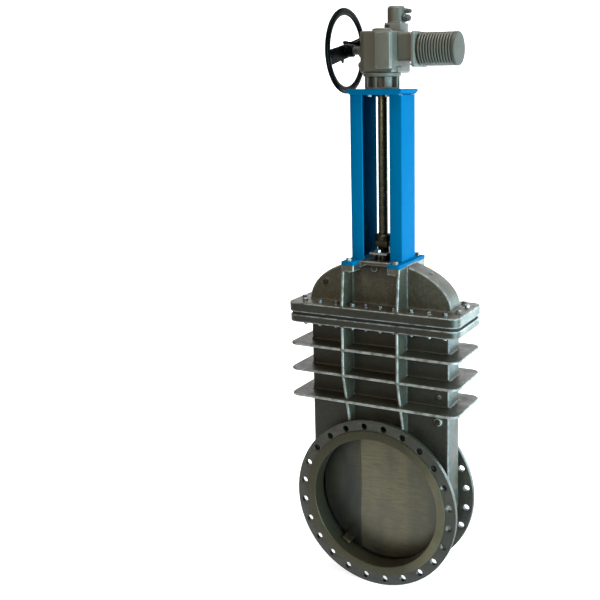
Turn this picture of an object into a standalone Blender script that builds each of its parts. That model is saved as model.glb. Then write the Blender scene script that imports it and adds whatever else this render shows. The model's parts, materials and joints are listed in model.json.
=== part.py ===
"""Knife gate valve, DN 700, with a channel yoke and an electric actuator with a handwheel.

Metres, +Z up. The origin is the centre of the bore: X runs across the pipe, Y along it and Z up the stem.
The gate is modelled shut, which is the rest pose: the stem, nut carrier and gate rise together by TRAVEL.
"""
import math

import bmesh
import bpy
from mathutils import Matrix

for leftover in list(bpy.data.objects):
    bpy.data.objects.remove(leftover, do_unlink=True)

GAP = 0.0003            # clearance left between touching pieces
SINK = 0.004            # how far a joined shape runs into its neighbour
TRAVEL = 0.690          # stroke of the gate

# pipe flanges, DN 700 PN 16
BORE_R = 0.350
FLANGE_R = 0.455
FLANGE_T = 0.030
FACE_R = 0.3975         # raised face
FACE_STEP = 0.005
FACE_Y = 0.146          # half the face-to-face length
BOLT_CIRCLE_R = 0.420
BOLT_HOLES = 24
BOLT_HOLE_R = 0.0165
NECK_R = 0.372

# body chamber, its fins and its top flange
BODY_X = 0.388
BODY_Y = 0.0735
BODY_WALL = 0.017
TOP_X = 0.470           # half-width of the bonnet joint
TOP_Y = 0.182           # half-depth of the bonnet joint
CORNER_R = 0.052
BODY_TOP = 0.986
TOP_FLANGE_T = 0.041
FIN_TOPS = (0.832, 0.696, 0.556)
FIN_T = 0.014
FIN_X = 0.469
FIN_Y = 0.176
RIB_X = 0.152           # centre of the upright ribs
RIB_T = 0.014

# seat and gate: the gate leans on one seat, behind it, and is open to the chamber in front
SEAT_BORE_R = 0.342
SEAT_FACE_R = 0.364
GATE_T = 0.040
GATE_R = 0.364
GATE_TOP = 0.375
TONGUE_TOP = 0.435      # tongue in the middle of the gate, held by the clevis
PIN_Z = 0.408

# bonnet
GASKET_T = 0.014
BONNET_BASE = BODY_TOP + GASKET_T
BONNET_FLANGE_T = 0.050
ARCH_X = 0.396          # half-width of the arched chamber
ARCH_RISE = 0.230
ARCH_Y = 0.066
DECK_Z = 1.262          # flat top that carries the yoke
DECK_T = 0.022
DECK_Y = 0.088
GLAND_R = 0.046         # radius of the stuffing box

# yoke
FOOT_X = 0.126
FOOT_W = 0.068
FOOT_Y = 0.162
FOOT_T = 0.020
CHANNEL_X = 0.139       # outer face of the webs
CHANNEL_Y = 0.083
CHANNEL_W = 0.066
CHANNEL_T = 0.009
PLATE_X = 0.146
PLATE_Y = 0.104
PLATE_T = 0.028
YOKE_TOP = 2.127

# stem, spindle and their nut
ROD_R = 0.030
ROD_BORE_R = 0.0268
SPINDLE_R = 0.0252
ROD_FOOT_Z = 0.441
CARRIER_Z = 1.343
CARRIER_T = 0.032
NUT_T = 0.033

# actuator
NECK_TOP = 2.203
HOUSING_TOP = 2.402
WORM_Y = 0.060          # worm, motor and handwheel share one axis, behind the spindle
WORM_Z = 2.314
WORM_X = -0.122         # where the worm's shaft ends and the handwheel's begins
MOTOR_R = 0.081
WHEEL_X = -0.229
WHEEL_R = 0.194         # to the middle of the rim
WHEEL_TURN = math.radians(12)


# ---------------------------------------------------------------- helpers

def new_collection(name):
    made = bpy.data.collections.new(name)
    bpy.context.scene.collection.children.link(made)
    return made


PARTS = new_collection("knife_gate_valve")
CUTTERS = new_collection("cutters")


def paint(name, colour, roughness, metallic):
    made = bpy.data.materials.new(name)
    made.use_nodes = True
    shader = made.node_tree.nodes["Principled BSDF"]
    shader.inputs["Base Color"].default_value = (*colour, 1.0)
    shader.inputs["Roughness"].default_value = roughness
    shader.inputs["Metallic"].default_value = metallic
    made.diffuse_color = (*colour, 1.0)
    return made


CASTING = paint("bare_casting", (0.13, 0.125, 0.11), 0.45, 0.75)
STEEL = paint("machined_steel", (0.42, 0.43, 0.43), 0.35, 1.0)
BOLTING = paint("stainless_bolting", (0.62, 0.62, 0.60), 0.28, 1.0)
DARK_STEEL = paint("dark_steel", (0.06, 0.055, 0.045), 0.5, 0.6)
YOKE_BLUE = paint("yoke_blue", (0.0, 0.16, 0.42), 0.4, 0.0)
GREY = paint("actuator_grey", (0.13, 0.13, 0.11), 0.5, 0.1)
BLACK = paint("black_enamel", (0.008, 0.009, 0.01), 0.25, 0.0)
RUBBER = paint("gasket_black", (0.012, 0.012, 0.012), 0.8, 0.0)
BRONZE = paint("bronze", (0.45, 0.30, 0.12), 0.35, 1.0)


def place(name, mesh, surface, at=(0.0, 0.0, 0.0), turn=None):
    """Make an object of a mesh; without a surface it is a tool for a Boolean."""
    obj = bpy.data.objects.new(name, mesh)
    (PARTS if surface else CUTTERS).objects.link(obj)
    if surface:
        mesh.materials.append(surface)
        mesh.shade_smooth()
        mesh.set_sharp_from_angle(angle=math.radians(35))
    else:
        obj.display_type = "WIRE"
        obj.hide_render = True
    obj.matrix_world = Matrix.Translation(at) @ (turn or Matrix())
    return obj


def box(name, low, high, surface=None, pivot=(0.0, 0.0, 0.0)):
    bm = bmesh.new()
    bmesh.ops.create_cube(bm, size=1.0)
    size = [b - a for a, b in zip(low, high)]
    centre = [(a + b) / 2 - p for a, b, p in zip(low, high, pivot)]
    bmesh.ops.transform(bm, matrix=Matrix.LocRotScale(centre, None, size), verts=bm.verts)
    mesh = bpy.data.meshes.new(name)
    bm.to_mesh(mesh)
    bm.free()
    return place(name, mesh, surface, pivot)


LAY = {"X": Matrix.Rotation(math.pi / 2, 4, "Y"), "Y": Matrix.Rotation(-math.pi / 2, 4, "X"), "Z": Matrix()}


def rods(name, axis, starts, length, radius, surface=None, sides=24, tip=None, pivot=None):
    """Round bars from each start along an axis; tip is the far end's radius when they taper."""
    bm = bmesh.new()
    pivot = pivot or starts[0]
    for start in starts:
        shift = Matrix.Translation([a - b for a, b in zip(start, pivot)])
        bmesh.ops.create_cone(bm, cap_ends=True, segments=sides, radius1=radius, depth=length,
                              radius2=radius if tip is None else tip,
                              matrix=shift @ LAY[axis] @ Matrix.Translation((0, 0, length / 2)))
    mesh = bpy.data.meshes.new(name)
    bm.to_mesh(mesh)
    bm.free()
    return place(name, mesh, surface, pivot)


def rod(name, axis, start, *size, **options):
    return rods(name, axis, [start], *size, **options)


def turned(name, axis, at, profile, surface=None, sides=48, ring=False):
    """A turned piece: profile is (radius, height along the axis) from the top down the outer side."""
    mesh = bpy.data.meshes.new(name)
    count = len(profile)
    edges = [(i, i + 1) for i in range(count - 1)] + ([(count - 1, 0)] if ring else [])
    mesh.from_pydata([(r, 0.0, h) for r, h in profile], edges, [])
    obj = place(name, mesh, surface, at, LAY[axis])
    screw = obj.modifiers.new("turn", "SCREW")
    screw.steps = screw.render_steps = sides
    screw.use_merge_vertices = True
    screw.merge_threshold = 0.00001
    screw.use_smooth_shade = False
    return obj


def arc(cx, cy, radius, start, end, count):
    """Points of an arc, in degrees, both ends included."""
    return [(cx + radius * math.cos(math.radians(a)), cy + radius * math.sin(math.radians(a)))
            for a in (start + (end - start) * i / count for i in range(count + 1))]


def circle(cx, cy, radius, count):
    return arc(cx, cy, radius, 0, 360, count)[:-1]


def rounded(half_x, half_y, radius, count=5, cx=0.0, cy=0.0):
    """A rectangle's outline with round corners."""
    points = []
    for quarter, (sx, sy) in enumerate(((1, 1), (-1, 1), (-1, -1), (1, -1))):
        points += arc(cx + sx * (half_x - radius), cy + sy * (half_y - radius), radius,
                      90 * quarter, 90 * quarter + 90, count)
    return points


# each plane's (first, second, normal) axes as columns
PLANES = {
    "XY": Matrix(((1, 0, 0, 0), (0, 1, 0, 0), (0, 0, 1, 0), (0, 0, 0, 1))),
    "XZ": Matrix(((1, 0, 0, 0), (0, 0, -1, 0), (0, 1, 0, 0), (0, 0, 0, 1))),
    "YZ": Matrix(((0, 0, 1, 0), (1, 0, 0, 0), (0, 1, 0, 0), (0, 0, 0, 1))),
}


def plate(name, plane, loops, low, high, surface=None, pivot=(0.0, 0.0, 0.0)):
    """A flat outline with holes, filled and extruded between two levels along its plane's normal."""
    curve = bpy.data.curves.new(name, "CURVE")
    curve.dimensions = "2D"
    curve.fill_mode = "BOTH"
    curve.extrude = (high - low) / 2
    for loop in loops:
        spline = curve.splines.new("POLY")
        spline.points.add(len(loop) - 1)
        spline.use_cyclic_u = True
        for point, (a, b) in zip(spline.points, loop):
            point.co = (a, b, 0.0, 1.0)
    outline = bpy.data.objects.new(name, curve)
    bpy.context.scene.collection.objects.link(outline)
    depsgraph = bpy.context.evaluated_depsgraph_get()
    mesh = bpy.data.meshes.new_from_object(outline.evaluated_get(depsgraph))
    bpy.data.objects.remove(outline, do_unlink=True)
    middle = (low + high) / 2
    normal_sign = -1 if plane == "XZ" else 1
    bm = bmesh.new()
    bm.from_mesh(mesh)
    bmesh.ops.remove_doubles(bm, verts=bm.verts, dist=0.00001)
    bmesh.ops.transform(bm, matrix=Matrix.Translation([-p for p in pivot]) @ PLANES[plane]
                        @ Matrix.Translation((0, 0, normal_sign * middle)), verts=bm.verts)
    bmesh.ops.recalc_face_normals(bm, faces=bm.faces)
    bm.to_mesh(mesh)
    bm.free()
    mesh.name = name
    return place(name, mesh, surface, pivot)


def combine(target, operation, *tools):
    """Join tools to the target, or cut them from it, in the order given."""
    for tool in tools:
        change = target.modifiers.new(operation.lower(), "BOOLEAN")
        change.operation = operation
        change.solver = "EXACT"
        change.object = tool
    return target


def bevel(obj, width, segments=1, angle=40):
    edge = obj.modifiers.new("edges", "BEVEL")
    edge.width = width
    edge.segments = segments
    edge.limit_method = "ANGLE"
    edge.angle_limit = math.radians(angle)
    return obj


# ---------------------------------------------------------------- body

def chamber_outline(half_x, top):
    """Straight sides that end in a half circle round the bore."""
    return [(half_x, top), *arc(0, 0, half_x, 0, -180, 28), (-half_x, top)]


def upright_rib(side, front):
    """A rib from the top flange down to the pipe flange, as deep as the fins down to the middle one."""
    root = BODY_Y - SINK
    outline = [(root, BODY_TOP - 0.020), (FIN_Y + 0.002, BODY_TOP - 0.020), (FIN_Y + 0.002, FIN_TOPS[1] - 0.006),
               (FACE_Y - FLANGE_T + SINK, 0.44), (FACE_Y - FLANGE_T + SINK, 0.400), (root, 0.400)]
    outline = [(front * y, z) for y, z in outline]
    return plate("rib", "YZ", [outline], side * RIB_X - RIB_T / 2, side * RIB_X + RIB_T / 2)


def pipe_section():
    """Both pipe flanges, with raised faces, and the bored neck between them."""
    step, back = FACE_Y - FACE_STEP, FACE_Y - FLANGE_T
    half = [(BORE_R, FACE_Y), (FACE_R, FACE_Y), (FACE_R, step), (FLANGE_R, step), (FLANGE_R, back), (NECK_R, back)]
    profile = half + [(r, -h) for r, h in half[::-1]]
    return turned("pipe_section", "Y", (0, 0, 0), profile, sides=56, ring=True)


def flange_holes(front):
    angles = [(i + 0.5) * 2 * math.pi / BOLT_HOLES for i in range(BOLT_HOLES)]
    start_y = FACE_Y - FLANGE_T - 0.002 if front > 0 else -FACE_Y - 0.002
    starts = [(BOLT_CIRCLE_R * math.cos(a), start_y, BOLT_CIRCLE_R * math.sin(a)) for a in angles]
    return rods("flange_holes", "Y", starts, FLANGE_T + 0.004, BOLT_HOLE_R, sides=8)


def make_body():
    body = plate("valve_body", "XZ", [chamber_outline(BODY_X, BODY_TOP - 0.010)], -BODY_Y, BODY_Y, CASTING)
    top = plate("top_flange", "XY", [rounded(TOP_X, TOP_Y, CORNER_R)], BODY_TOP - TOP_FLANGE_T, BODY_TOP)
    fins = [plate("fin", "XY", [rounded(FIN_X, FIN_Y, CORNER_R)], z - FIN_T, z) for z in FIN_TOPS]
    ribs = [upright_rib(side, front) for side in (-1, 1) for front in (-1, 1)]
    boss = rod("flush_boss", "Y", (0.331, -BODY_Y - 0.010, 0.479), 0.014, 0.022, sides=16)
    combine(body, "UNION", top, *fins, *ribs, boss)
    port = rod("port", "Y", (0, -0.2, 0), 0.4, (BORE_R + NECK_R) / 2, sides=56)
    combine(body, "DIFFERENCE", port)
    combine(body, "UNION", pipe_section())
    cavity = plate("cavity", "XZ", [chamber_outline(BODY_X - BODY_WALL, BODY_TOP + 0.05)],
                   BODY_WALL - BODY_Y, BODY_Y - BODY_WALL)
    plug_hole = rod("plug_hole", "Y", (0.331, -BODY_Y - 0.020, 0.479), 0.040, 0.0123, sides=16)
    combine(body, "DIFFERENCE", cavity, plug_hole, flange_holes(-1), flange_holes(1))
    plug("flush_plug", (0.331, -BODY_Y - 0.010, 0.479))


def plug(name, at):
    """A hexagon-headed screw plug in a wall that faces the front."""
    head = rod(name, "Y", (at[0], at[1] - GAP - 0.009, at[2]), 0.009, 0.017, BOLTING, sides=6)
    shank = rod("shank", "Y", (at[0], at[1] - GAP - SINK, at[2]), 0.024, 0.012, sides=16)
    return combine(head, "UNION", shank)


def make_seat():
    """The seat ring behind the gate: a face on the chamber's wall and a sleeve in the bore."""
    face, lip, end = GATE_T / 2 + GAP, BODY_Y - BODY_WALL - GAP, 0.095
    sleeve_r = BORE_R - 2 * GAP
    profile = [(SEAT_BORE_R, end), (sleeve_r, end), (sleeve_r, lip), (SEAT_FACE_R, lip), (SEAT_FACE_R, face),
               (SEAT_BORE_R, face)]
    turned("seat_ring", "Y", (0, 0, 0), profile, STEEL, sides=56, ring=True)


def make_guide():
    """A bronze block screwed inside the bore, low on the left, that keeps the gate against its seat."""
    outer = BORE_R - 0.002
    block = box("gate_guide", (outer - 0.015, -0.090, -0.026), (outer, -GATE_T / 2 - GAP, 0.026), BRONZE)
    bevel(block, 0.002)
    block.matrix_world = Matrix.Rotation(math.radians(126), 4, "Y")


# ---------------------------------------------------------------- gate and stem

def make_gate():
    tongue = 0.050
    outline = [(tongue, TONGUE_TOP), (tongue, GATE_TOP), (GATE_R, GATE_TOP), *arc(0, 0, GATE_R, 0, -180, 40),
               (-GATE_R, GATE_TOP), (-tongue, GATE_TOP), (-tongue, TONGUE_TOP)]
    plate("gate", "XZ", [outline, circle(0, PIN_Z, 0.0123, 16)], -GATE_T / 2, GATE_T / 2, STEEL)

    clevis = box("gate_clevis", (-0.060, -0.036, GATE_TOP + 0.002), (0.060, 0.036, 0.465), DARK_STEEL)
    slot = box("slot", (-0.070, -GATE_T / 2 - GAP, 0.300), (0.070, GATE_T / 2 + GAP, TONGUE_TOP + GAP))
    eye = rod("eye", "Y", (0, -0.060, PIN_Z), 0.120, 0.0123, sides=16)
    socket = rod("socket", "Z", (0, 0, ROD_FOOT_Z - GAP), 0.080, ROD_R + GAP, sides=24)
    combine(clevis, "DIFFERENCE", slot, eye, socket)

    pin = rod("clevis_pin", "Y", (0, -0.044, PIN_Z), 0.084, 0.012, BOLTING, sides=16)
    head = rod("pin_head", "Y", (0, -0.044, PIN_Z), 0.0077, 0.018, sides=16)
    combine(pin, "UNION", head)

    stem = rod("stem", "Z", (0, 0, ROD_FOOT_Z), CARRIER_Z - GAP - ROD_FOOT_Z, ROD_R, STEEL, sides=24)
    hollow = rod("stem_bore", "Z", (0, 0, 0.620), 0.800, ROD_BORE_R, sides=24)
    combine(stem, "DIFFERENCE", hollow)


def make_nut():
    outline = rounded(0.041, 0.036, 0.012, 3)
    plate("nut_carrier", "XY", [outline, circle(0, 0, SPINDLE_R + 0.0015, 24)], CARRIER_Z, CARRIER_Z + CARRIER_T,
          DARK_STEEL)
    base = CARRIER_Z + CARRIER_T + GAP
    bore = SPINDLE_R + GAP
    profile = [(0.041, base + NUT_T), (0.046, base + NUT_T - 0.005), (0.046, base), (bore, base),
               (bore, base + NUT_T)]
    turned("spindle_nut", "Z", (0, 0, 0), profile, DARK_STEEL, sides=24, ring=True)


# ---------------------------------------------------------------- bonnet

def arch_outline(half_x, rise, base, foot):
    """Half an ellipse on upright sides that run down to the foot."""
    points = [(half_x * math.cos(a), base + rise * math.sin(a)) for a in (math.pi * i / 28 for i in range(29))]
    return [(half_x, foot), *points, (-half_x, foot)]


def bonnet_rib(side, front):
    """A rib from the joint flange's edge up to the pad under the yoke's foot."""
    foot = BONNET_BASE + BONNET_FLANGE_T - SINK
    outline = [(ARCH_Y - SINK, foot), (TOP_Y - 0.002, foot), (TOP_Y - 0.002, foot + SINK),
               (FOOT_Y - 0.002, DECK_Z - 0.052), (ARCH_Y - SINK, DECK_Z - 0.052)]
    outline = [(front * y, z) for y, z in outline]
    return plate("bonnet_rib", "YZ", [outline], side * RIB_X - RIB_T / 2, side * RIB_X + RIB_T / 2)


def make_bonnet():
    top = BONNET_BASE + BONNET_FLANGE_T
    bonnet = plate("bonnet", "XY", [rounded(TOP_X + 0.002, TOP_Y + 0.003, CORNER_R)], BONNET_BASE, top, CASTING)
    arch = plate("arch", "XZ", [arch_outline(ARCH_X, ARCH_RISE, top, BONNET_BASE + SINK)], -ARCH_Y, ARCH_Y)
    trim = box("trim", (-0.3, -0.2, DECK_Z - SINK / 4), (0.3, 0.2, DECK_Z + 0.1))
    combine(arch, "DIFFERENCE", trim)
    deck = plate("deck", "XY", [rounded(FOOT_X + FOOT_W / 2, DECK_Y, 0.012, 2)], DECK_Z - DECK_T, DECK_Z)
    pads = [box("pad", (side * FOOT_X - FOOT_W / 2, -FOOT_Y, DECK_Z - 0.055),
                (side * FOOT_X + FOOT_W / 2, FOOT_Y, DECK_Z)) for side in (-1, 1)]
    ribs = [bonnet_rib(side, front) for side in (-1, 1) for front in (-1, 1)]
    gland = rod("gland_box", "Z", (0, 0, DECK_Z - 0.095), 0.110, 0.068, sides=24)
    combine(bonnet, "UNION", arch, deck, *pads, *ribs)
    inside = plate("inside", "XZ", [arch_outline(ARCH_X - 0.017, ARCH_RISE - 0.025, top, BONNET_BASE - 0.05)],
                   0.017 - ARCH_Y, ARCH_Y - 0.017)
    combine(bonnet, "DIFFERENCE", inside)
    combine(bonnet, "UNION", gland)
    packing_bore = rod("packing_bore", "Z", (0, 0, DECK_Z - 0.080), 0.150, GLAND_R, sides=24)
    rod_hole = rod("rod_hole", "Z", (0, 0, DECK_Z - 0.150), 0.150, ROD_R + 0.001, sides=24)
    bolt_holes = [rod("bolt_hole", "Z", (x, y, DECK_Z - 0.045), 0.080, 0.0105, sides=12)
                  for x, y in foot_bolt_places()]
    stud_holes = [rod("stud_hole", "Z", (0, y, DECK_Z - 0.012), 0.060, 0.0063, sides=8)
                  for y in (-0.057, 0.057)]
    plug_hole = rod("plug_hole", "Y", (-0.300, -ARCH_Y - 0.02, 1.148), 0.060, 0.0123, sides=16)
    combine(bonnet, "DIFFERENCE", packing_bore, rod_hole, *bolt_holes, *stud_holes, plug_hole)
    plug("vent_plug", (-0.300, -ARCH_Y, 1.148))

    window = rounded(ARCH_X - 0.017, ARCH_Y - 0.017, 0.010, 2)
    plate("bonnet_gasket", "XY", [rounded(TOP_X - 0.008, TOP_Y - 0.008, CORNER_R - 0.008), window],
          BODY_TOP + GAP, BONNET_BASE - GAP, RUBBER)


def make_packing():
    floor, ring_t = DECK_Z - 0.080 + GAP, 0.0147
    for number in range(4):
        low = floor + number * (ring_t + GAP)
        profile = [(GLAND_R - GAP * 2, low + ring_t), (GLAND_R - GAP * 2, low), (ROD_R + GAP * 2, low),
                   (ROD_R + GAP * 2, low + ring_t)]
        turned(f"packing_ring_{number + 1}", "Z", (0, 0, 0), profile, RUBBER, sides=24, ring=True)
    sleeve_foot = floor + 4 * (ring_t + GAP)
    plate_z, plate_t = 1.309, 0.011
    follower = plate("gland_follower", "XY",
                     [rounded(0.053, 0.072, 0.010, 2), circle(0, 0, ROD_R + 0.001, 24),
                      circle(0, -0.057, 0.0065, 8), circle(0, 0.057, 0.0065, 8)],
                     plate_z, plate_z + plate_t, BOLTING)
    outer, bore = GLAND_R - GAP * 2, ROD_R + 0.001
    sleeve = turned("sleeve", "Z", (0, 0, 0), [(outer, plate_z + SINK), (outer, sleeve_foot), (bore, sleeve_foot),
                                              (bore, plate_z + SINK)], sides=24, ring=True)
    combine(follower, "UNION", sleeve)
    for number, y in enumerate((-0.057, 0.057), start=1):
        rod(f"gland_stud_{number}", "Z", (0, y, DECK_Z - 0.011), 0.090, 0.006, BOLTING, sides=8)
        nut = [circle(0, y, 0.0125, 6), circle(0, y, 0.0063, 8)]
        plate(f"gland_nut_{number}", "XY", nut, plate_z + plate_t + GAP, plate_z + plate_t + 0.0135, BOLTING)


# ---------------------------------------------------------------- yoke

def foot_bolt_places():
    return [(side * FOOT_X, end * (FOOT_Y - 0.024)) for side in (-1, 1) for end in (-1, 1)]


def hex_bolt(name, at, head_t, head_r, shank_r, shank, surface=BOLTING, down=True):
    """A hexagon bolt: at is where the head's underside sits, and the shank runs down or up from it."""
    lift = GAP if down else -GAP - head_t
    head = rod(name, "Z", (at[0], at[1], at[2] + lift), head_t, head_r, surface, sides=6)
    start = at[2] - shank if down else at[2] - GAP - SINK
    stalk = rod("stalk", "Z", (at[0], at[1], start), shank + GAP + SINK, shank_r, sides=12)
    return combine(head, "UNION", stalk)


def make_yoke():
    foot_z = DECK_Z + GAP
    for name, side in (("yoke_foot_left", -1), ("yoke_foot_right", 1)):
        outline = rounded(FOOT_W / 2, FOOT_Y, 0.004, 1, cx=side * FOOT_X)
        holes = [circle(x, y, 0.0105, 12) for x, y in foot_bolt_places() if x * side > 0]
        plate(name, "XY", [outline, *holes], foot_z, foot_z + FOOT_T, YOKE_BLUE)
    channel_low, channel_high = foot_z + FOOT_T + GAP, YOKE_TOP - PLATE_T - GAP
    for name, side in (("yoke_channel_left", -1), ("yoke_channel_right", 1)):
        out, tips = side * CHANNEL_X, side * (CHANNEL_X - CHANNEL_W)
        web = side * (CHANNEL_X - CHANNEL_T)
        inner_y = CHANNEL_Y - CHANNEL_T
        outline = [(out, -CHANNEL_Y), (out, CHANNEL_Y), (tips, CHANNEL_Y), (tips, inner_y), (web, inner_y),
                   (web, -inner_y), (tips, -inner_y), (tips, -CHANNEL_Y)]
        plate(name, "XY", [outline], channel_low, channel_high, YOKE_BLUE)
    for number, (x, y) in enumerate(foot_bolt_places(), start=1):
        hex_bolt(f"foot_bolt_{number}", (x, y, foot_z + FOOT_T), 0.016, 0.0175, 0.010, 0.058)
    bolts = actuator_bolt_places()
    plate("yoke_top_plate", "XY", [rounded(PLATE_X, PLATE_Y, 0.006, 2), circle(0, 0, 0.036, 32),
                                   *[circle(x, y, 0.0085, 12) for x, y in bolts]],
          YOKE_TOP - PLATE_T, YOKE_TOP, YOKE_BLUE)
    for number, (x, y) in enumerate(bolts, start=1):
        hex_bolt(f"actuator_bolt_{number}", (x, y, YOKE_TOP - PLATE_T), 0.010, 0.0135, 0.008,
                 PLATE_T + 0.010, down=False)


def actuator_bolt_places():
    """Four bolts on the F14 flange's 140 mm circle."""
    reach = 0.070 * math.sqrt(0.5)
    return [(a * reach, b * reach) for a in (-1, 1) for b in (-1, 1)]


# ---------------------------------------------------------------- actuator

def make_neck():
    """The output mounting: an F14 bottom flange, four columns round a cored waist, and a wide collar."""
    low, high = YOKE_TOP + GAP, NECK_TOP - GAP
    bore = 0.044
    profile = [(0.094, high), (0.094, high - 0.014), (0.056, high - 0.018), (0.056, low + 0.016),
               (0.0875, low + 0.012), (0.0875, low), (bore, low), (bore, high)]
    neck = turned("actuator_neck", "Z", (0, 0, 0), profile, GREY, sides=32, ring=True)
    columns = []
    for number in range(4):
        column = box("column", (0.050, -0.026, low + 0.008), (0.085, 0.026, high - 0.010))
        column.matrix_world = Matrix.Rotation(math.radians(45 + 90 * number), 4, "Z")
        columns.append(column)
    combine(neck, "UNION", *columns)
    holes = [rod("bolt_hole", "Z", (x, y, low - 0.020), 0.020 + 0.0105, 0.0085, sides=12)
             for x, y in actuator_bolt_places()]
    combine(neck, "DIFFERENCE", *holes)


HOUSING_X = (-0.099, 0.088)
HOUSING_Y = (-0.075, 0.150)


def make_housing():
    """The gear case with a worm chamber inside, a front cover, a top cap and a wheel-side boss."""
    (x0, x1), (y0, y1) = HOUSING_X, HOUSING_Y
    corners = (*arc(x1 - 0.010, y1 - 0.010, 0.010, 0, 90, 2), *arc(x0 + 0.045, y1 - 0.045, 0.045, 90, 180, 6),
               *arc(x0 + 0.045, y0 + 0.045, 0.045, 180, 270, 6), *arc(x1 - 0.006, y0 + 0.006, 0.006, 270, 360, 2))
    housing = plate("gear_housing", "XY", [list(corners)], NECK_TOP, HOUSING_TOP, GREY)
    bevel(housing, 0.010, 2, 60)
    boss = rod("wheel_boss", "X", (-0.150, WORM_Y, WORM_Z), 0.080, 0.034, sides=24)
    toe = box("toe", (0.0, -0.020, NECK_TOP + 0.001), (0.096, 0.030, NECK_TOP + 0.028))
    combine(housing, "UNION", boss, toe)
    sleeve_bore = rod("sleeve_bore", "Z", (0, 0, NECK_TOP - 0.020), 0.180, 0.046, sides=32)
    worm_bore = rod("worm_bore", "X", (-0.160, WORM_Y, WORM_Z), 0.300, 0.021, sides=24)
    combine(housing, "DIFFERENCE", sleeve_bore, worm_bore)

    cover_x = (0.007, 0.088)
    outline = rounded((cover_x[1] - cover_x[0]) / 2, 0.086, 0.008, 3, cx=sum(cover_x) / 2, cy=2.307)
    cover = plate("front_cover", "XZ", [outline], -0.102, HOUSING_Y[0] - GAP, GREY)
    bevel(cover, 0.004, 2, 60)

    profile = [(0.0, HOUSING_TOP + 0.013), (0.043, HOUSING_TOP + 0.013), (0.048, HOUSING_TOP + 0.009),
               (0.048, HOUSING_TOP + GAP), (0.0, HOUSING_TOP + GAP)]
    turned("top_cap", "Z", (0.0, 0.0, 0.0), profile, GREY, sides=32)


def make_drive():
    """Inner drive: the spindle, a hollow shaft keyed to it, its wheel, two bearings and the worm."""
    rod("spindle", "Z", (0, 0, 1.330), 1.025, SPINDLE_R, STEEL, sides=24)
    inner, outer = SPINDLE_R + GAP, 0.031
    low, high = YOKE_TOP + 0.010, 2.350
    turned("drive_sleeve", "Z", (0, 0, 0), [(outer, high), (outer, low), (inner, low), (inner, high)], STEEL,
           sides=32, ring=True)
    half, bore = 0.012, outer + GAP
    turned("worm_wheel", "Z", (0, 0, WORM_Z), [(0.0415, half), (0.0430, half - 0.004), (0.0430, 0.004 - half),
                                               (0.0415, -half), (bore, -half), (bore, half)],
           BRONZE, sides=32, ring=True)
    for name, z in (("bearing_lower", NECK_TOP + 0.010), ("bearing_upper", 2.334)):
        outer, inner = 0.0455, bore + 0.0003
        turned(name, "Z", (0, 0, z), [(outer, half), (outer, 0.0), (inner, 0.0), (inner, half)], STEEL, sides=32,
               ring=True)
    worm = rod("worm_shaft", "X", (WORM_X, WORM_Y, WORM_Z), 0.277, 0.011, STEEL, sides=16)
    thread = rod("worm_thread", "X", (-0.025, WORM_Y, WORM_Z), 0.050, 0.0165, sides=16)
    combine(worm, "UNION", thread)


def make_motor():
    """Adapter, flange, ribbed motor and end cover, in line with the worm."""
    x0 = HOUSING_X[1] + GAP
    adapter = plate("motor_adapter", "YZ", [rounded(0.073, 0.068, 0.014, 3, WORM_Y, WORM_Z + 0.011),
                                            circle(WORM_Y, WORM_Z, 0.021, 24)], x0, 0.1627, GREY)
    lug = box("adapter_top", (x0, WORM_Y - 0.060, WORM_Z + 0.060), (0.122, WORM_Y + 0.060, HOUSING_TOP - 0.002))
    combine(adapter, "UNION", lug)
    plate("motor_flange", "YZ", [rounded(0.085, 0.085, 0.018, 3, WORM_Y, WORM_Z),
                                 circle(WORM_Y, WORM_Z, 0.021, 24)], 0.163, 0.1807, GREY)
    fins, pitch, root = 12, 0.0143, MOTOR_R - 0.012
    start, end = 0.181, 0.361
    profile = [(0.0, end), (root, end)]
    for number in range(fins):
        x = end - 0.003 - number * pitch
        profile += [(root, x), (MOTOR_R, x - 0.002), (MOTOR_R, x - 0.005), (root, x - 0.007)]
    profile += [(root, start), (0.021, start), (0.021, end - 0.05), (0.0, end - 0.05)]
    turned("motor_housing", "X", (0, WORM_Y, WORM_Z), profile, GREY, sides=24)
    cover = [(0.0, 0.380), (0.066, 0.380), (MOTOR_R - 0.003, 0.374), (MOTOR_R, 0.366), (MOTOR_R, end + GAP),
             (0.0, end + GAP)]
    turned("motor_end_cover", "X", (0, WORM_Y, WORM_Z), cover, GREY, sides=24)


def make_plug():
    """The round electrical plug on its square base, with two cable glands and no cable."""
    cx, cy = 0.034, 0.096
    base_z, top_z = HOUSING_TOP + GAP, 2.443
    plate("plug_base", "XY", [rounded(0.046, 0.046, 0.006, 2, cx, cy)], base_z, top_z, GREY)
    crown = top_z + GAP
    profile = [(0.0, 2.525), (0.038, 2.525), (0.045, 2.518), (0.046, 2.508), (0.046, crown), (0.0, crown)]
    turned("plug_cover", "Z", (cx, cy, 0), profile, GREY, sides=32)
    for number, (y, z, radius) in enumerate(((cy - 0.008, 2.466, 0.021), (cy + 0.006, 2.500, 0.014)), start=1):
        gland = rod(f"cable_gland_{number}", "X", (cx + 0.0465, y, z), 0.016, radius, DARK_STEEL, sides=6)
        cap = rod("gland_cap", "X", (cx + 0.050, y, z), 0.028, radius * 0.85, sides=16, tip=radius * 0.7)
        combine(gland, "UNION", cap)


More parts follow.
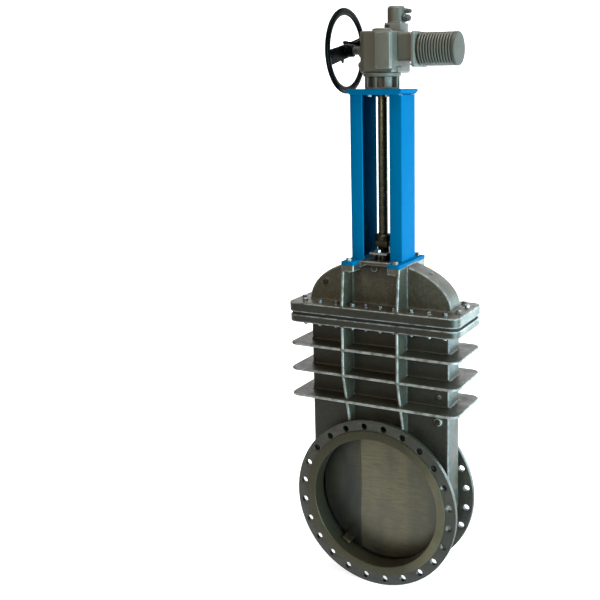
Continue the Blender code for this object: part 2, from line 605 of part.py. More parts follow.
def make_wheel():
    """The handwheel turns about the worm's axis: an oval rim, one broad web across it and a hub."""
    axis_at = (WHEEL_X, WORM_Y, WORM_Z)
    steps = 8
    section = [(WHEEL_R + 0.019 * math.cos(a), 0.012 * math.sin(a))
               for a in (-2 * math.pi * (i + 0.5) / steps for i in range(steps))]
    wheel = turned("handwheel", "X", axis_at, section, BLACK, sides=40, ring=True)
    web = plate("web", "YZ", [[(-0.188, -0.036), (0.188, -0.036), (0.188, 0.036), (-0.188, 0.036)]], -0.005, 0.005)
    web.matrix_world = Matrix.Translation(axis_at) @ Matrix.Rotation(WHEEL_TURN, 4, "X")
    hub = rod("hub", "X", (WHEEL_X - 0.010, WORM_Y, WORM_Z), 0.055, 0.030, sides=24)
    combine(wheel, "UNION", web, hub)
    start = WHEEL_X + 0.045 + GAP
    rod("wheel_shaft", "X", (start, WORM_Y, WORM_Z), WORM_X - GAP - start, 0.020, STEEL, sides=24)


def make_lever():
    """The declutch lever on the gear case's left side, below which the handwheel turns."""
    pivot = (HOUSING_X[0], -0.010, 2.345)
    lever = rod("declutch_lever", "X", (pivot[0] - 0.030, pivot[1], pivot[2]), 0.0297, 0.014, GREY, sides=16,
                pivot=pivot)
    arm = box("arm", (pivot[0] - 0.029, pivot[1] - 0.112, pivot[2] - 0.006),
              (pivot[0] - 0.021, pivot[1], pivot[2] + 0.006))
    combine(lever, "UNION", arm)
    rod("lever_grip", "Y", (pivot[0] - 0.025, pivot[1] - 0.150, pivot[2]), 0.0377, 0.009, BLACK, sides=12)


make_body()
make_seat()
make_guide()
make_gate()
make_nut()
make_bonnet()
make_packing()
make_yoke()
make_neck()
make_housing()
make_drive()
make_motor()
make_plug()
make_wheel()
make_lever()
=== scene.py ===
"""The looks of the knife gate valve: castings, machined faces, enamel and bolting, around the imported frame.

Metres, in the frame of the CAD: X runs across the pipe, Y along it and Z up the stem, from the bore's centre.
"""

import json
from math import copysign, cos, pi, radians, sin, sqrt, tan, tau

import bmesh
import bpy
from mathutils import Matrix, Vector
from mathutils.geometry import tessellate_polygon


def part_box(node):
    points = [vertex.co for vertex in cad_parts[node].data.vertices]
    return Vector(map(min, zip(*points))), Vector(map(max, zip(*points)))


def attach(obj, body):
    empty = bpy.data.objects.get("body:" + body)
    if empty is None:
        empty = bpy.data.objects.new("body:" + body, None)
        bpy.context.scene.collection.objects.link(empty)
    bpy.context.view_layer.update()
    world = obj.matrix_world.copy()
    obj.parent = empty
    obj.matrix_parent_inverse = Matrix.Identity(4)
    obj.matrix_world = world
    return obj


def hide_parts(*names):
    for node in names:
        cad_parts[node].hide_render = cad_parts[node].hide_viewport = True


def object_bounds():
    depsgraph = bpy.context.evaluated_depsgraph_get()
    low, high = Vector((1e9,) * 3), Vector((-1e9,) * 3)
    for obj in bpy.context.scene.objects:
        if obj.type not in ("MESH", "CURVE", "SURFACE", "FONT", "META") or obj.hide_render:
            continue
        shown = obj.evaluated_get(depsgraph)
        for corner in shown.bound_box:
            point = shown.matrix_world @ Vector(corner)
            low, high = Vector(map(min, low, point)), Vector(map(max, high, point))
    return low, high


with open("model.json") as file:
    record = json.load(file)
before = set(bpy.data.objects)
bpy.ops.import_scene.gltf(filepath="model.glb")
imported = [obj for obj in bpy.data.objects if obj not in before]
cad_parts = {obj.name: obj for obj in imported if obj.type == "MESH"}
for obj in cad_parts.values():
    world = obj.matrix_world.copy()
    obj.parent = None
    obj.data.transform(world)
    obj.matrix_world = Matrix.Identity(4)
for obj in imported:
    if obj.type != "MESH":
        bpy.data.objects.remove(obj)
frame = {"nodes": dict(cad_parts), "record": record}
CAD_BOX = [list(corner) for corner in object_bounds()]

# ---------------------------------------------------------------- driving sizes, read from the frame

def measured(name):
    """A CAD node's lowest corner, its highest corner and the middle between them."""
    low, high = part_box(name)
    return low, high, [(a + b) / 2 for a, b in zip(low, high)]


MOUNTS = {mount["name"]: mount for mount in frame["record"]["mounts"]}
FACE_Y = MOUNTS["rear_flange_face"]["pos_m"][1]
FLANGE_R = -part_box("valve_body")[0].z
JOINT_LOW, JOINT_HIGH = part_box("bonnet_gasket")
BODY_TOP = JOINT_LOW.z
BONNET_BASE = JOINT_HIGH.z
BONNET_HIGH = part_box("bonnet")[1]
DECK_Z = BONNET_HIGH.z
GATE_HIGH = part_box("gate")[1]
GATE_R = GATE_HIGH.x
GATE_Y = GATE_HIGH.y
ROD_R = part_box("stem")[1].x
SPINDLE_LOW, SPINDLE_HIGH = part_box("spindle")
SPINDLE_R = SPINDLE_HIGH.x
MOTOR_LOW, MOTOR_HIGH, (_, WORM_Y, WORM_Z) = measured("motor_end_cover")
WORM_AXIS = (0, WORM_Y, WORM_Z)
MOTOR_R = MOTOR_HIGH.y - WORM_Y

# the casting's own sizes
BORE_R = 0.350
FACE_R = 0.3975
FACE_STEP = 0.005
FLANGE_T = 0.030
BOLT_CIRCLE_R = 0.420
FLANGE_HOLES = 24
FLANGE_HOLE_R = 0.0170
NECK_R = 0.372
BODY_X = 0.388
BODY_Y = 0.0735
BODY_WALL = 0.017
TOP_X = 0.470
TOP_Y = 0.182
CORNER_R = 0.052
TOP_FLANGE_T = 0.041
BONNET_FLANGE_T = 0.050
FIN_TOPS = (0.832, 0.696, 0.556)
FIN_T = 0.014
FIN_X = 0.471
FIN_Y = 0.179
RIB_X = 0.152
RIB_T = 0.014
ARCH_X = 0.396
ARCH_RISE = 0.230
ARCH_Y = 0.066
DECK_T = 0.022
DECK_Y = 0.088
PAD_X = 0.126
PAD_W = 0.068
PAD_Y = 0.162
GLAND_T = 0.011
THREAD_LEAD = 0.008
THREAD_DEPTH = 0.0028
WHEEL_TURN = radians(12)

# hexagons, across their flats
COVER_HEX = 0.0240
GLAND_HEX = 0.0215
FOOT_HEX = 0.0290
NECK_HEX = 0.0225
MOTOR_HEX = 0.0130
PLUG_HEX = 0.0285

# heights where painted shade on the castings fades in, from none to full
WALL_SHADE = (0.952, 0.942)
RIM_SHADE = (1.052, 1.044)
GREASE_Z = 1.29

SIDES = (-1, 1)
CORNERS = [(sx, sy) for sx in SIDES for sy in SIDES]
ORIGIN = (0, 0, 0)


# ---------------------------------------------------------------- materials

class Look:
    """One material: a Principled shader and the nodes that feed it, all in object space."""

    def __init__(self, name, roughness, metallic=0.0):
        self.material = bpy.data.materials.new(name)
        self.material.use_nodes = True
        self.tree = self.material.node_tree
        self.shader = self.tree.nodes["Principled BSDF"]
        self.set("Roughness", roughness)
        self.set("Metallic", metallic)
        self.place = self.node("ShaderNodeTexCoord").outputs["Object"]

    def feed(self, socket, value):
        """Link another node's output to a socket, or set the socket to a plain value."""
        if isinstance(value, bpy.types.NodeSocket):
            self.tree.links.new(value, socket)
        else:
            socket.default_value = value

    def set(self, name, value):
        self.feed(self.shader.inputs[name], value)

    def node(self, kind, inputs=None, **settings):
        made = self.tree.nodes.new(kind)
        for key, value in settings.items():
            setattr(made, key, value)
        for key, value in (inputs or {}).items():
            self.feed(made.inputs[key], value)
        return made

    def axes(self):
        """The X, Y and Z of the point that is shaded."""
        return self.node("ShaderNodeSeparateXYZ", {"Vector": self.place}).outputs

    def stretched(self, factors):
        """Object coordinates scaled by a factor on each axis."""
        return self.node("ShaderNodeMapping", {"Vector": self.place, "Scale": factors}).outputs[0]

    def noise(self, scale, detail=4.0, stretch=None, distortion=0.0, roughness=0.55):
        inputs = {"Vector": self.stretched(stretch) if stretch else self.place, "Scale": scale,
                  "Detail": detail, "Roughness": roughness, "Distortion": distortion}
        return self.node("ShaderNodeTexNoise", inputs).outputs["Fac"]

    def spread(self, value, low, high, to_low=0.0, to_high=1.0):
        """Stretch a range of values over another range, and clamp it."""
        return self.node("ShaderNodeMapRange", {"Value": value, "From Min": low, "From Max": high,
                                                "To Min": to_low, "To Max": to_high}).outputs[0]

    def math(self, operation, *values):
        return self.node("ShaderNodeMath", dict(enumerate(values)), operation=operation).outputs[0]

    def product(self, first, *others):
        """Masks multiplied together."""
        for other in others:
            first = self.math("MULTIPLY", first, other)
        return first

    def within(self, axis, clean, full, most=1.0):
        """A mask by distance from an axis's zero: 0 at the first distance, most at the second; it shapes
        painted shade on the castings.
        """
        return self.spread(self.math("ABSOLUTE", axis), clean, full, 0.0, most)

    def mix(self, factor, first, second):
        return self.node("ShaderNodeMix", {0: factor, 6: first, 7: second}, data_type="RGBA").outputs[2]

    def bump(self, height, distance, strength=1.0, under=None):
        inputs = {"Height": height, "Distance": distance, "Strength": strength}
        if under:
            inputs["Normal"] = under
        return self.node("ShaderNodeBump", inputs).outputs[0]

    def highlight_edges(self, low, high):
        """1 on outward edges of a finely meshed piece, 0 elsewhere; it places painted highlights."""
        return self.spread(self.node("ShaderNodeNewGeometry").outputs["Pointiness"], low, high)


def casting_look(name, edges_highlighted):
    """Bare cast steel: dark, slightly oily, with grain, blotches and faint rust, painted shade in its
    recesses and under the deck, and painted highlights on its edges or, on the pipe flanges, a darkening
    towards the bottom.
    """
    look = Look(name, 0.5, 0.35)
    x, y, z = look.axes()
    blotch = look.noise(4.0, 5.0, distortion=0.4)
    streak = look.noise(9.0, 3.0, stretch=(1.0, 1.0, 0.18))
    mottle = look.noise(85.0, 4.0, roughness=0.7)
    colour = look.mix(look.spread(blotch, 0.35, 0.65), (0.036, 0.032, 0.020, 1), (0.076, 0.069, 0.046, 1))
    colour = look.mix(look.spread(streak, 0.60, 0.78, 0.0, 0.55), colour, (0.085, 0.060, 0.034, 1))
    colour = look.mix(look.spread(mottle, 0.30, 0.50, 0.65, 0.0), colour, (0.020, 0.018, 0.012, 1))
    colour = look.mix(look.spread(mottle, 0.55, 0.75, 0.0, 0.6), colour, (0.125, 0.118, 0.092, 1))

    # painted shade on the walls between the fins and on the front rims of the cover joint, and a painted
    # shadow under the deck
    wall_shade = look.product(look.within(y, BODY_Y + 0.0125, BODY_Y + 0.0025),
                         look.within(x, BODY_X + 0.004, BODY_X - 0.004, 0.82), look.spread(z, *WALL_SHADE))
    colour = look.mix(wall_shade, colour, (0.012, 0.011, 0.007, 1))
    rims = look.product(look.spread(z, BODY_TOP - 0.060, BODY_TOP - 0.050),
                        look.spread(z, *RIM_SHADE, 0.0, 0.78), look.within(y, TOP_Y - 0.010, TOP_Y - 0.002))
    colour = look.mix(rims, colour, (0.010, 0.009, 0.006, 1))
    # painted shadow under the deck, between the pads, darkest just under it
    pad_gap = PAD_X - PAD_W / 2
    deck_shadow = look.product(look.spread(z, DECK_Z - 0.090, DECK_Z - 0.030, 0.0, 0.85),
                              look.within(y, DECK_Y, DECK_Y - 0.008),
                              look.within(x, pad_gap + 0.002, pad_gap - 0.008),
                              look.spread(z, DECK_Z - DECK_T + 0.001, DECK_Z - DECK_T - 0.001))
    colour = look.mix(deck_shadow, colour, (0.006, 0.005, 0.004, 1))
    if edges_highlighted:
        # painted highlights along the outward edges, broken up by noise
        edge = look.product(look.highlight_edges(0.509, 0.534), look.spread(look.noise(30.0, 4.0), 0.25, 0.60))
        colour = look.mix(edge, colour, (0.30, 0.30, 0.28, 1))
    else:
        # the pipe flanges: darker towards the bottom
        colour = look.mix(look.spread(z, 0.10, -0.36, 0.6, 0.88), colour, (0.010, 0.009, 0.005, 1))
        look.set("Metallic", 0.1)
    look.set("Base Color", colour)
    look.set("Roughness", look.spread(look.noise(16.0, 6.0), 0.3, 0.7, 0.36, 0.54))
    look.set("Specular IOR Level", 0.55)
    grain = look.bump(look.noise(420.0, 3.0), 0.0006, 0.5)
    look.set("Normal", look.bump(mottle, 0.0026, 0.6, grain))
    return look.material


def machined_casting_look():
    """Turned cast steel: fine rings round the pipe's axis over dull grey-brown metal, with painted shade over
    its left part.
    """
    look = Look("machined_casting_look", 0.42, 0.7)
    cloud = look.noise(5.0, 4.0, distortion=0.6)
    turned = look.mix(look.spread(cloud, 0.3, 0.7), (0.080, 0.069, 0.040, 1), (0.132, 0.117, 0.074, 1))
    # painted shade over the left part of the turned face, broken into clouds
    across = look.axes()[0]
    left_shade = look.product(look.spread(across, 0.32, 0.16, 0.0, 0.78),
                           look.spread(cloud, 0.2, 0.6, 0.7, 1.0))
    look.set("Base Color", look.mix(left_shade, turned, (0.024, 0.020, 0.010, 1)))
    rings = look.node("ShaderNodeTexWave", {"Vector": look.place, "Scale": 160.0, "Distortion": 0.3},
                      wave_type="RINGS", rings_direction="Y").outputs["Fac"]
    look.set("Roughness", look.spread(look.noise(40.0, 4.0), 0.3, 0.7, 0.34, 0.5))
    look.set("Normal", look.bump(rings, 0.0003, 0.35))
    return look.material


def gate_look():
    """Stainless plate: a horizontal grain, a dull film of oil, and upright bands of painted reflection, dark
    on the left and greyer on the right.
    """
    look = Look("gate_look", 0.38, 0.75)
    grain = look.noise(14.0, 8.0, stretch=(1.0, 1.0, 26.0), roughness=0.7)
    film = look.noise(3.2, 4.0, stretch=(1.6, 1.0, 0.8), distortion=0.5)
    base = look.mix(look.spread(grain, 0.3, 0.7), (0.084, 0.073, 0.045, 1), (0.188, 0.168, 0.112, 1))
    oiled = look.mix(look.spread(film, 0.45, 0.72, 0.0, 0.7), base, (0.070, 0.070, 0.066, 1))
    # upright bands of painted reflection, wandering a little: a dark one on the left with a dark line at its
    # edge, and a greyer one on the right
    across = look.axes()[0]
    wander = look.math("ADD", across, look.spread(look.noise(3.0, 3.0), 0.0, 1.0, -0.012, 0.012))
    left = look.product(look.spread(wander, -0.128, -0.148), look.spread(film, 0.25, 0.6, 0.55, 0.9))
    right = look.spread(wander, 0.130, 0.150, 0.0, 0.30)
    shaded = look.mix(left, oiled, (0.025, 0.028, 0.027, 1))
    shaded = look.mix(right, shaded, (0.075, 0.076, 0.066, 1))
    reflection_edge = look.product(look.spread(wander, -0.143, -0.139),
                        look.spread(wander, -0.133, -0.137, 0.0, 0.6))
    look.set("Base Color", look.mix(reflection_edge, shaded, (0.022, 0.020, 0.016, 1)))
    look.set("Roughness", look.spread(grain, 0.3, 0.7, 0.32, 0.48))
    look.set("Normal", look.bump(grain, 0.0004, 0.4))
    return look.material


def metal_look(name, dark, light, roughness, scale=30.0, stretch=(1.0, 1.0, 8.0), greased_above=None):
    """Machined or rolled metal with a directional grain, and black grease above a height if one is given."""
    look = Look(name, roughness, 1.0)
    grain = look.noise(scale, 5.0, stretch=stretch)
    clean = look.mix(look.spread(grain, 0.3, 0.7), (*dark, 1), (*light, 1))
    if greased_above:
        grease = look.spread(look.axes()[2], greased_above - 0.03, greased_above)
        clean = look.mix(grease, clean, (0.008, 0.007, 0.005, 1))
    look.set("Base Color", clean)
    look.set("Roughness", look.spread(look.noise(60.0, 3.0), 0.3, 0.7, roughness - 0.06, roughness + 0.08))
    look.set("Normal", look.bump(grain, 0.0002, 0.3))
    return look.material


def enamel_look(name, colour, roughness, peel, shine, dust, fleck=None, edge_highlight=0.0, grooves=None):
    """Sprayed paint: orange peel, colour drift, dust, painted highlights on its edges, and painted shade in a
    round part's grooves.
    """
    look = Look(name, roughness)
    drift = look.noise(3.0, 3.0)
    darker = tuple(c * 0.90 for c in colour)
    base = look.mix(look.spread(drift, 0.3, 0.7), (*darker, 1), (*colour, 1))
    if fleck:
        base = look.mix(look.spread(look.noise(700.0, 1.0), 0.55, 0.75, 0.0, 0.5), base, (*fleck, 1))
    if edge_highlight:
        # painted highlights along the outward edges, broken up by noise
        edge = look.product(look.highlight_edges(0.512, 0.545),
                            look.spread(look.noise(40.0, 4.0), 0.2, 0.6, 0.4, edge_highlight))
        base = look.mix(edge, base, (0.20, 0.20, 0.18, 1))
    if grooves:
        # painted shade in the grooves between the fins, darkest at their roots
        _, y, z = look.axes()
        across, up = (look.math("POWER", look.math("SUBTRACT", axis, centre), 2.0)
                      for axis, centre in ((y, WORM_Y), (z, WORM_Z)))
        radius = look.math("SQRT", look.math("ADD", across, up))
        depth = look.spread(radius, grooves, grooves - 0.007, 0.0, 0.8)
        base = look.mix(depth, base, (0.018, 0.017, 0.013, 1))
    dusty = look.spread(look.noise(12.0, 6.0), 0.5, 0.85, 0.0, dust)
    look.set("Base Color", look.mix(dusty, base, (0.35, 0.34, 0.31, 1)))
    look.set("Roughness", look.spread(look.noise(25.0, 4.0), 0.3, 0.7, roughness - 0.06, roughness + 0.08))
    look.set("Specular IOR Level", shine)
    look.set("Normal", look.bump(look.noise(peel, 2.0), 0.0005, 0.3))
    return look.material


def rubber_look():
    """Black packing and gasket sheet, dull and crumbed."""
    look = Look("gasket_look", 0.85)
    crumb = look.noise(300.0, 3.0)
    look.set("Base Color", look.mix(crumb, (0.004, 0.004, 0.004, 1), (0.014, 0.013, 0.012, 1)))
    look.set("Normal", look.bump(crumb, 0.0004, 0.5))
    return look.material


def floor_look():
    """The pale floor, which glows behind the valve so that the backdrop is clean white."""
    look = Look("floor_look", 0.9)
    look.set("Base Color", look.mix(look.noise(2.0, 2.0), (0.60, 0.60, 0.60, 1), (0.64, 0.64, 0.64, 1)))
    look.set("Emission Color", (1.0, 1.0, 1.0, 1.0))
    x, y, _ = look.axes()
    depth = look.math("SUBTRACT", y, look.product(x, 0.46))
    look.set("Emission Strength", look.spread(depth, -1.1, -0.35, 0.0, 0.72))
    return look.material


CASTING = casting_look("bare_casting_look", True)
FLANGE_CASTING = casting_look("flange_casting_look", False)
MACHINED = machined_casting_look()
PLATE_STEEL = gate_look()
STEEL = metal_look("machined_steel_look", (0.26, 0.26, 0.25), (0.46, 0.46, 0.45), 0.30)
STEM_STEEL = metal_look("stem_look", (0.26, 0.26, 0.25), (0.46, 0.46, 0.45), 0.30, greased_above=GREASE_Z)
BOLTING = metal_look("stainless_look", (0.15, 0.15, 0.145), (0.32, 0.32, 0.305), 0.32, 80.0, (1.0, 1.0, 1.0))
DARK_STEEL = metal_look("dark_steel_look", (0.022, 0.020, 0.014), (0.055, 0.050, 0.036), 0.42)
SCREW_STEEL = metal_look("spindle_look", (0.085, 0.080, 0.054), (0.145, 0.138, 0.098), 0.34, 40.0, (1, 1, 1))
BRONZE = metal_look("bronze_look", (0.28, 0.17, 0.06), (0.48, 0.31, 0.13), 0.34, 60.0, (1.0, 1.0, 1.0))
BLUE = enamel_look("yoke_blue_look", (0.0, 0.101, 0.228), 0.50, 350.0, 0.004, 0.0)
GREY_FLECK = (0.12, 0.118, 0.10)
# the actuator grey carries painted highlights on its edges
GREY = enamel_look("actuator_grey_look", (0.072, 0.067, 0.050), 0.46, 260.0, 0.36, 0.03, GREY_FLECK,
                   edge_highlight=0.7)
# the motor's fins take painted shade in their grooves
FIN_GREY = enamel_look("motor_fins_look", (0.078, 0.073, 0.056), 0.44, 260.0, 0.36, 0.03, GREY_FLECK,
                       grooves=(MOTOR_HIGH.z - MOTOR_LOW.z) / 2 - 0.001)
DARK_GREY = enamel_look("gland_grey_look", (0.040, 0.040, 0.036), 0.40, 260.0, 0.45, 0.02)
BLACK = enamel_look("black_enamel_look", (0.0018, 0.0018, 0.0018), 0.24, 150.0, 0.02, 0.0)
# painted shade on the motor's end cover: a darker copy of the actuator grey
CAP_GREY = enamel_look("motor_cap_look", (0.050, 0.047, 0.036), 0.50, 260.0, 0.20, 0.02, (0.085, 0.083, 0.07))
TARNISHED = metal_look("tarnished_bronze_look", (0.060, 0.048, 0.026), (0.180, 0.150, 0.090), 0.45, 20.0,
                       (1.0, 1.0, 0.5))
RUBBER = rubber_look()


# ---------------------------------------------------------------- shapes, all written into one bmesh

PLANES = {"XY": lambda a, b, h: (a, b, h), "XZ": lambda a, b, h: (a, h, b), "YZ": lambda a, b, h: (h, a, b)}
AXES = {"X": lambda r, a, h: (h, r * cos(a), r * sin(a)),
        "Y": lambda r, a, h: (r * cos(a), h, r * sin(a)),
        "Z": lambda r, a, h: (r * cos(a), r * sin(a), h)}


def polar(radius, angle):
    """A point by its radius and its angle in radians."""
    return radius * cos(angle), radius * sin(angle)


def arc(cx, cy, radius, start, end, count):
    """Points of an arc, in degrees, both ends included."""
    return [(cx + radius * cos(radians(a)), cy + radius * sin(radians(a)))
            for a in (start + (end - start) * i / count for i in range(count + 1))]


def circle(cx, cy, radius, count=32):
    return arc(cx, cy, radius, 0, 360, count)[:-1]


def rounded(half_x, half_y, radius, count=8, cx=0.0, cy=0.0):
    """A rectangle's outline with round corners."""
    points = []
    for quarter, (sx, sy) in enumerate(((1, 1), (-1, 1), (-1, -1), (1, -1))):
        points += arc(cx + sx * (half_x - radius), cy + sy * (half_y - radius), radius,
                      90 * quarter, 90 * quarter + 90, count)
    return points


def eased(points, radius, closed=True, count=3):
    """Round an outline's corners: each takes a short curve as wide as the radius, or as its sides allow."""
    made = []
    total = len(points)
    for i, point in enumerate(points):
        here = Vector(point)
        if not closed and i in (0, total - 1):
            made.append(tuple(here))
            continue
        before, after = Vector(points[i - 1]), Vector(points[(i + 1) % total])
        start = here + (before - here).normalized() * min(radius, (before - here).length * 0.45)
        end = here + (after - here).normalized() * min(radius, (after - here).length * 0.45)
        for step in range(count + 1):
            t = step / count
            made.append(tuple(start * (1 - t) ** 2 + here * 2 * t * (1 - t) + end * t ** 2))
    return made


def area(loop):
    """A closed outline's area, negative when it runs clockwise."""
    return sum(loop[i - 1][0] * loop[i][1] - loop[i][0] * loop[i - 1][1] for i in range(len(loop))) / 2


def shifted(loop, distance):
    """A closed outline moved to its left by a distance, with mitred corners."""
    if not distance:
        return loop
    made = []
    for i, point in enumerate(loop):
        here, before, after = Vector(point), Vector(loop[i - 1]), Vector(loop[(i + 1) % len(loop)])
        first, second = (here - before).normalized(), (after - here).normalized()
        left = Vector((-first.y, first.x))
        normal = (left + Vector((-second.y, second.x))).normalized()
        made.append(tuple(here + normal * (distance / max(0.4, normal.dot(left)))))
    return made


def slab(bm, plane, loops, low, high, edge=0.002, segments=3):
    """A flat outline with holes, given thickness, with every rim rounded over."""
    edge = min(edge, (high - low) * 0.49)
    steps = [pi / 2 * k / segments for k in range(segments + 1)] if edge else [0.0]
    levels = [(low + edge * (1 - sin(t)), edge * (1 - cos(t))) for t in steps[::-1]]
    levels += [(high - edge * (1 - sin(t)), edge * (1 - cos(t))) for t in steps]
    sited = PLANES[plane]
    caps = {0: [], len(levels) - 1: []}
    new = []
    for number, loop in enumerate(loops):
        if (area(loop) > 0) != (number == 0):
            loop = loop[::-1]
        rings = []
        for index, (level, inset) in enumerate(levels):
            flat = shifted(loop, inset)
            ring = [bm.verts.new(sited(a, b, level)) for a, b in flat]
            rings.append(ring)
            if index in caps:
                caps[index].append((flat, ring))
        new += [vert for ring in rings for vert in ring]
        for lower, upper in zip(rings, rings[1:]):
            for i in range(len(lower)):
                bm.faces.new((lower[i - 1], lower[i], upper[i], upper[i - 1]))
    for cap in caps.values():
        verts = [vert for _, ring in cap for vert in ring]
        if len(cap) == 1:
            bm.faces.new(verts)
            continue
        outline = [[Vector((a, b, 0)) for a, b in flat] for flat, _ in cap]
        for corners in tessellate_polygon(outline):
            bm.faces.new([verts[i] for i in corners])
    return new


def block(bm, low, high, edge=0.002, corner=None):
    """A box with rounded edges all over."""
    corner = corner or edge
    half_x, half_y = (high[0] - low[0]) / 2, (high[1] - low[1]) / 2
    outline = rounded(half_x, half_y, min(corner, half_x * 0.98, half_y * 0.98), 4,
                      (low[0] + high[0]) / 2, (low[1] + high[1]) / 2)
    return slab(bm, "XY", [outline], low[2], high[2], edge)


def lathe(bm, axis, at, profile, steps=64, closed=False):
    """A turned shape: (radius, height) points about an axis through a point; closed for a ring."""
    sited = AXES[axis]
    rings = []
    for radius, height in profile:
        count = steps if radius > 1e-6 else 1
        rings.append([bm.verts.new(Vector(sited(radius, tau * i / steps, height)) + Vector(at))
                      for i in range(count)])
    pairs = list(zip(rings, rings[1:])) + ([(rings[-1], rings[0])] if closed else [])
    for lower, upper in pairs:
        for i in range(steps):
            corners = [lower[(i - 1) % len(lower)], lower[i % len(lower)], upper[i % len(upper)],
                       upper[(i - 1) % len(upper)]]
            corners = list(dict.fromkeys(corners))
            if len(corners) > 2:
                bm.faces.new(corners)
    return [vert for ring in rings for vert in ring]


def disc(bm, axis, at, radius, length, edge=0.001, steps=48):
    """A round bar from a point along an axis, with rounded rims; a negative length runs the other way."""
    profile = eased([(0.0, 0.0), (radius, 0.0), (radius, length), (0.0, length)], edge, closed=False)
    return lathe(bm, axis, at, profile, steps)


def hexagon(bm, axis, at, across, height, turn=0.0):
    """A nut or bolt head: six flats whose top corners are turned off by a chamfer."""
    apothem, per_side = across / 2, 6
    steps = per_side * 6
    corner_r = apothem / cos(pi / 6)
    slope = tan(radians(30))
    flat_r = apothem * 0.94
    sign = copysign(1.0, height)
    drop = (corner_r - flat_r) * slope
    levels = [0.0] + [abs(height) - drop * k / 5 for k in range(5, -1, -1)]
    sited = AXES[axis]
    rings = []
    for level in levels:
        limit = flat_r + (abs(height) - level) / slope if level else corner_r
        ring = []
        for i in range(steps):
            a = tau * i / steps
            side = (a + pi / 6) % (pi / 3) - pi / 6
            radius = min(apothem / cos(side), limit)
            ring.append(bm.verts.new(Vector(sited(radius, a + turn, level * sign)) + Vector(at)))
        rings.append(ring)
    for lower, upper in zip(rings, rings[1:]):
        for i in range(steps):
            bm.faces.new((lower[i - 1], lower[i], upper[i], upper[i - 1]))
    bm.faces.new(rings[0])
    bm.faces.new(rings[-1])
    return [vert for ring in rings for vert in ring]


def turned_by(bm, verts, matrix):
    """Move some vertices by a matrix."""
    bmesh.ops.transform(bm, matrix=matrix, verts=verts)


def piece(name, bm, surface, *nodes, body="valve_frame", slot=None, sharp=32):
    """Close a bmesh into a named piece that rides on a body and may stand for CAD nodes."""
    bmesh.ops.recalc_face_normals(bm, faces=bm.faces)
    mesh = bpy.data.meshes.new(name)
    bm.to_mesh(mesh)
    bm.free()
    mesh.materials.append(surface)
    mesh.shade_smooth()
    mesh.set_sharp_from_angle(angle=radians(sharp))
    obj = bpy.data.objects.new(name, mesh)
    bpy.context.scene.collection.objects.link(obj)
    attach(obj, body)
    if nodes:
        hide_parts(*nodes)
    return obj


def turned_piece(name, surface, axis, at, profile, steps, *nodes, closed=True, **riding):
    """A piece that is one turned shape, a ring unless its profile is open."""
    bm = bmesh.new()
    lathe(bm, axis, at, profile, steps, closed)
    return piece(name, bm, surface, *nodes, **riding)


def plate_piece(name, surface, plane, loops, low, high, edge, *nodes, segments=3, **riding):
    """A piece that is one flat outline given thickness."""
    bm = bmesh.new()
    slab(bm, plane, loops, low, high, edge, segments)
    return piece(name, bm, surface, *nodes, **riding)


def cast(name, bm, voxel, passes, surface, *nodes, **riding):
    """Melt overlapping closed shapes into one casting with soft edges and filleted corners."""
    bmesh.ops.recalc_face_normals(bm, faces=bm.faces)
    mesh = bpy.data.meshes.new("melting")
    bm.to_mesh(mesh)
    bm.free()
    rough = bpy.data.objects.new("melting", mesh)
    bpy.context.scene.collection.objects.link(rough)
    melt = rough.modifiers.new("melt", "REMESH")
    melt.mode = "VOXEL"
    melt.voxel_size = voxel
    soften = rough.modifiers.new("soften", "SMOOTH")
    soften.factor = 0.5
    soften.iterations = passes
    depsgraph = bpy.context.evaluated_depsgraph_get()
    melted = bmesh.new()
    melted.from_mesh(bpy.data.meshes.new_from_object(rough.evaluated_get(depsgraph)))
    bpy.data.objects.remove(rough, do_unlink=True)
    return piece(name, melted, surface, *nodes, **riding, sharp=60)


# ---------------------------------------------------------------- body

def chamber_outline(half_x, top, count=48):
    """Straight sides that end in a half circle round the bore."""
    return [(half_x, top), *arc(0, 0, half_x, 0, -180, count), (-half_x, top)]


def stiffeners(bm, outline):
    """Four upright ribs, left and right on the front and the back, from an outline of (Y, Z) points."""
    for side, front in CORNERS:
        rib = [(front * y, z) for y, z in outline]
        slab(bm, "YZ", [rib], side * RIB_X - RIB_T / 2, side * RIB_X + RIB_T / 2, 0.003)


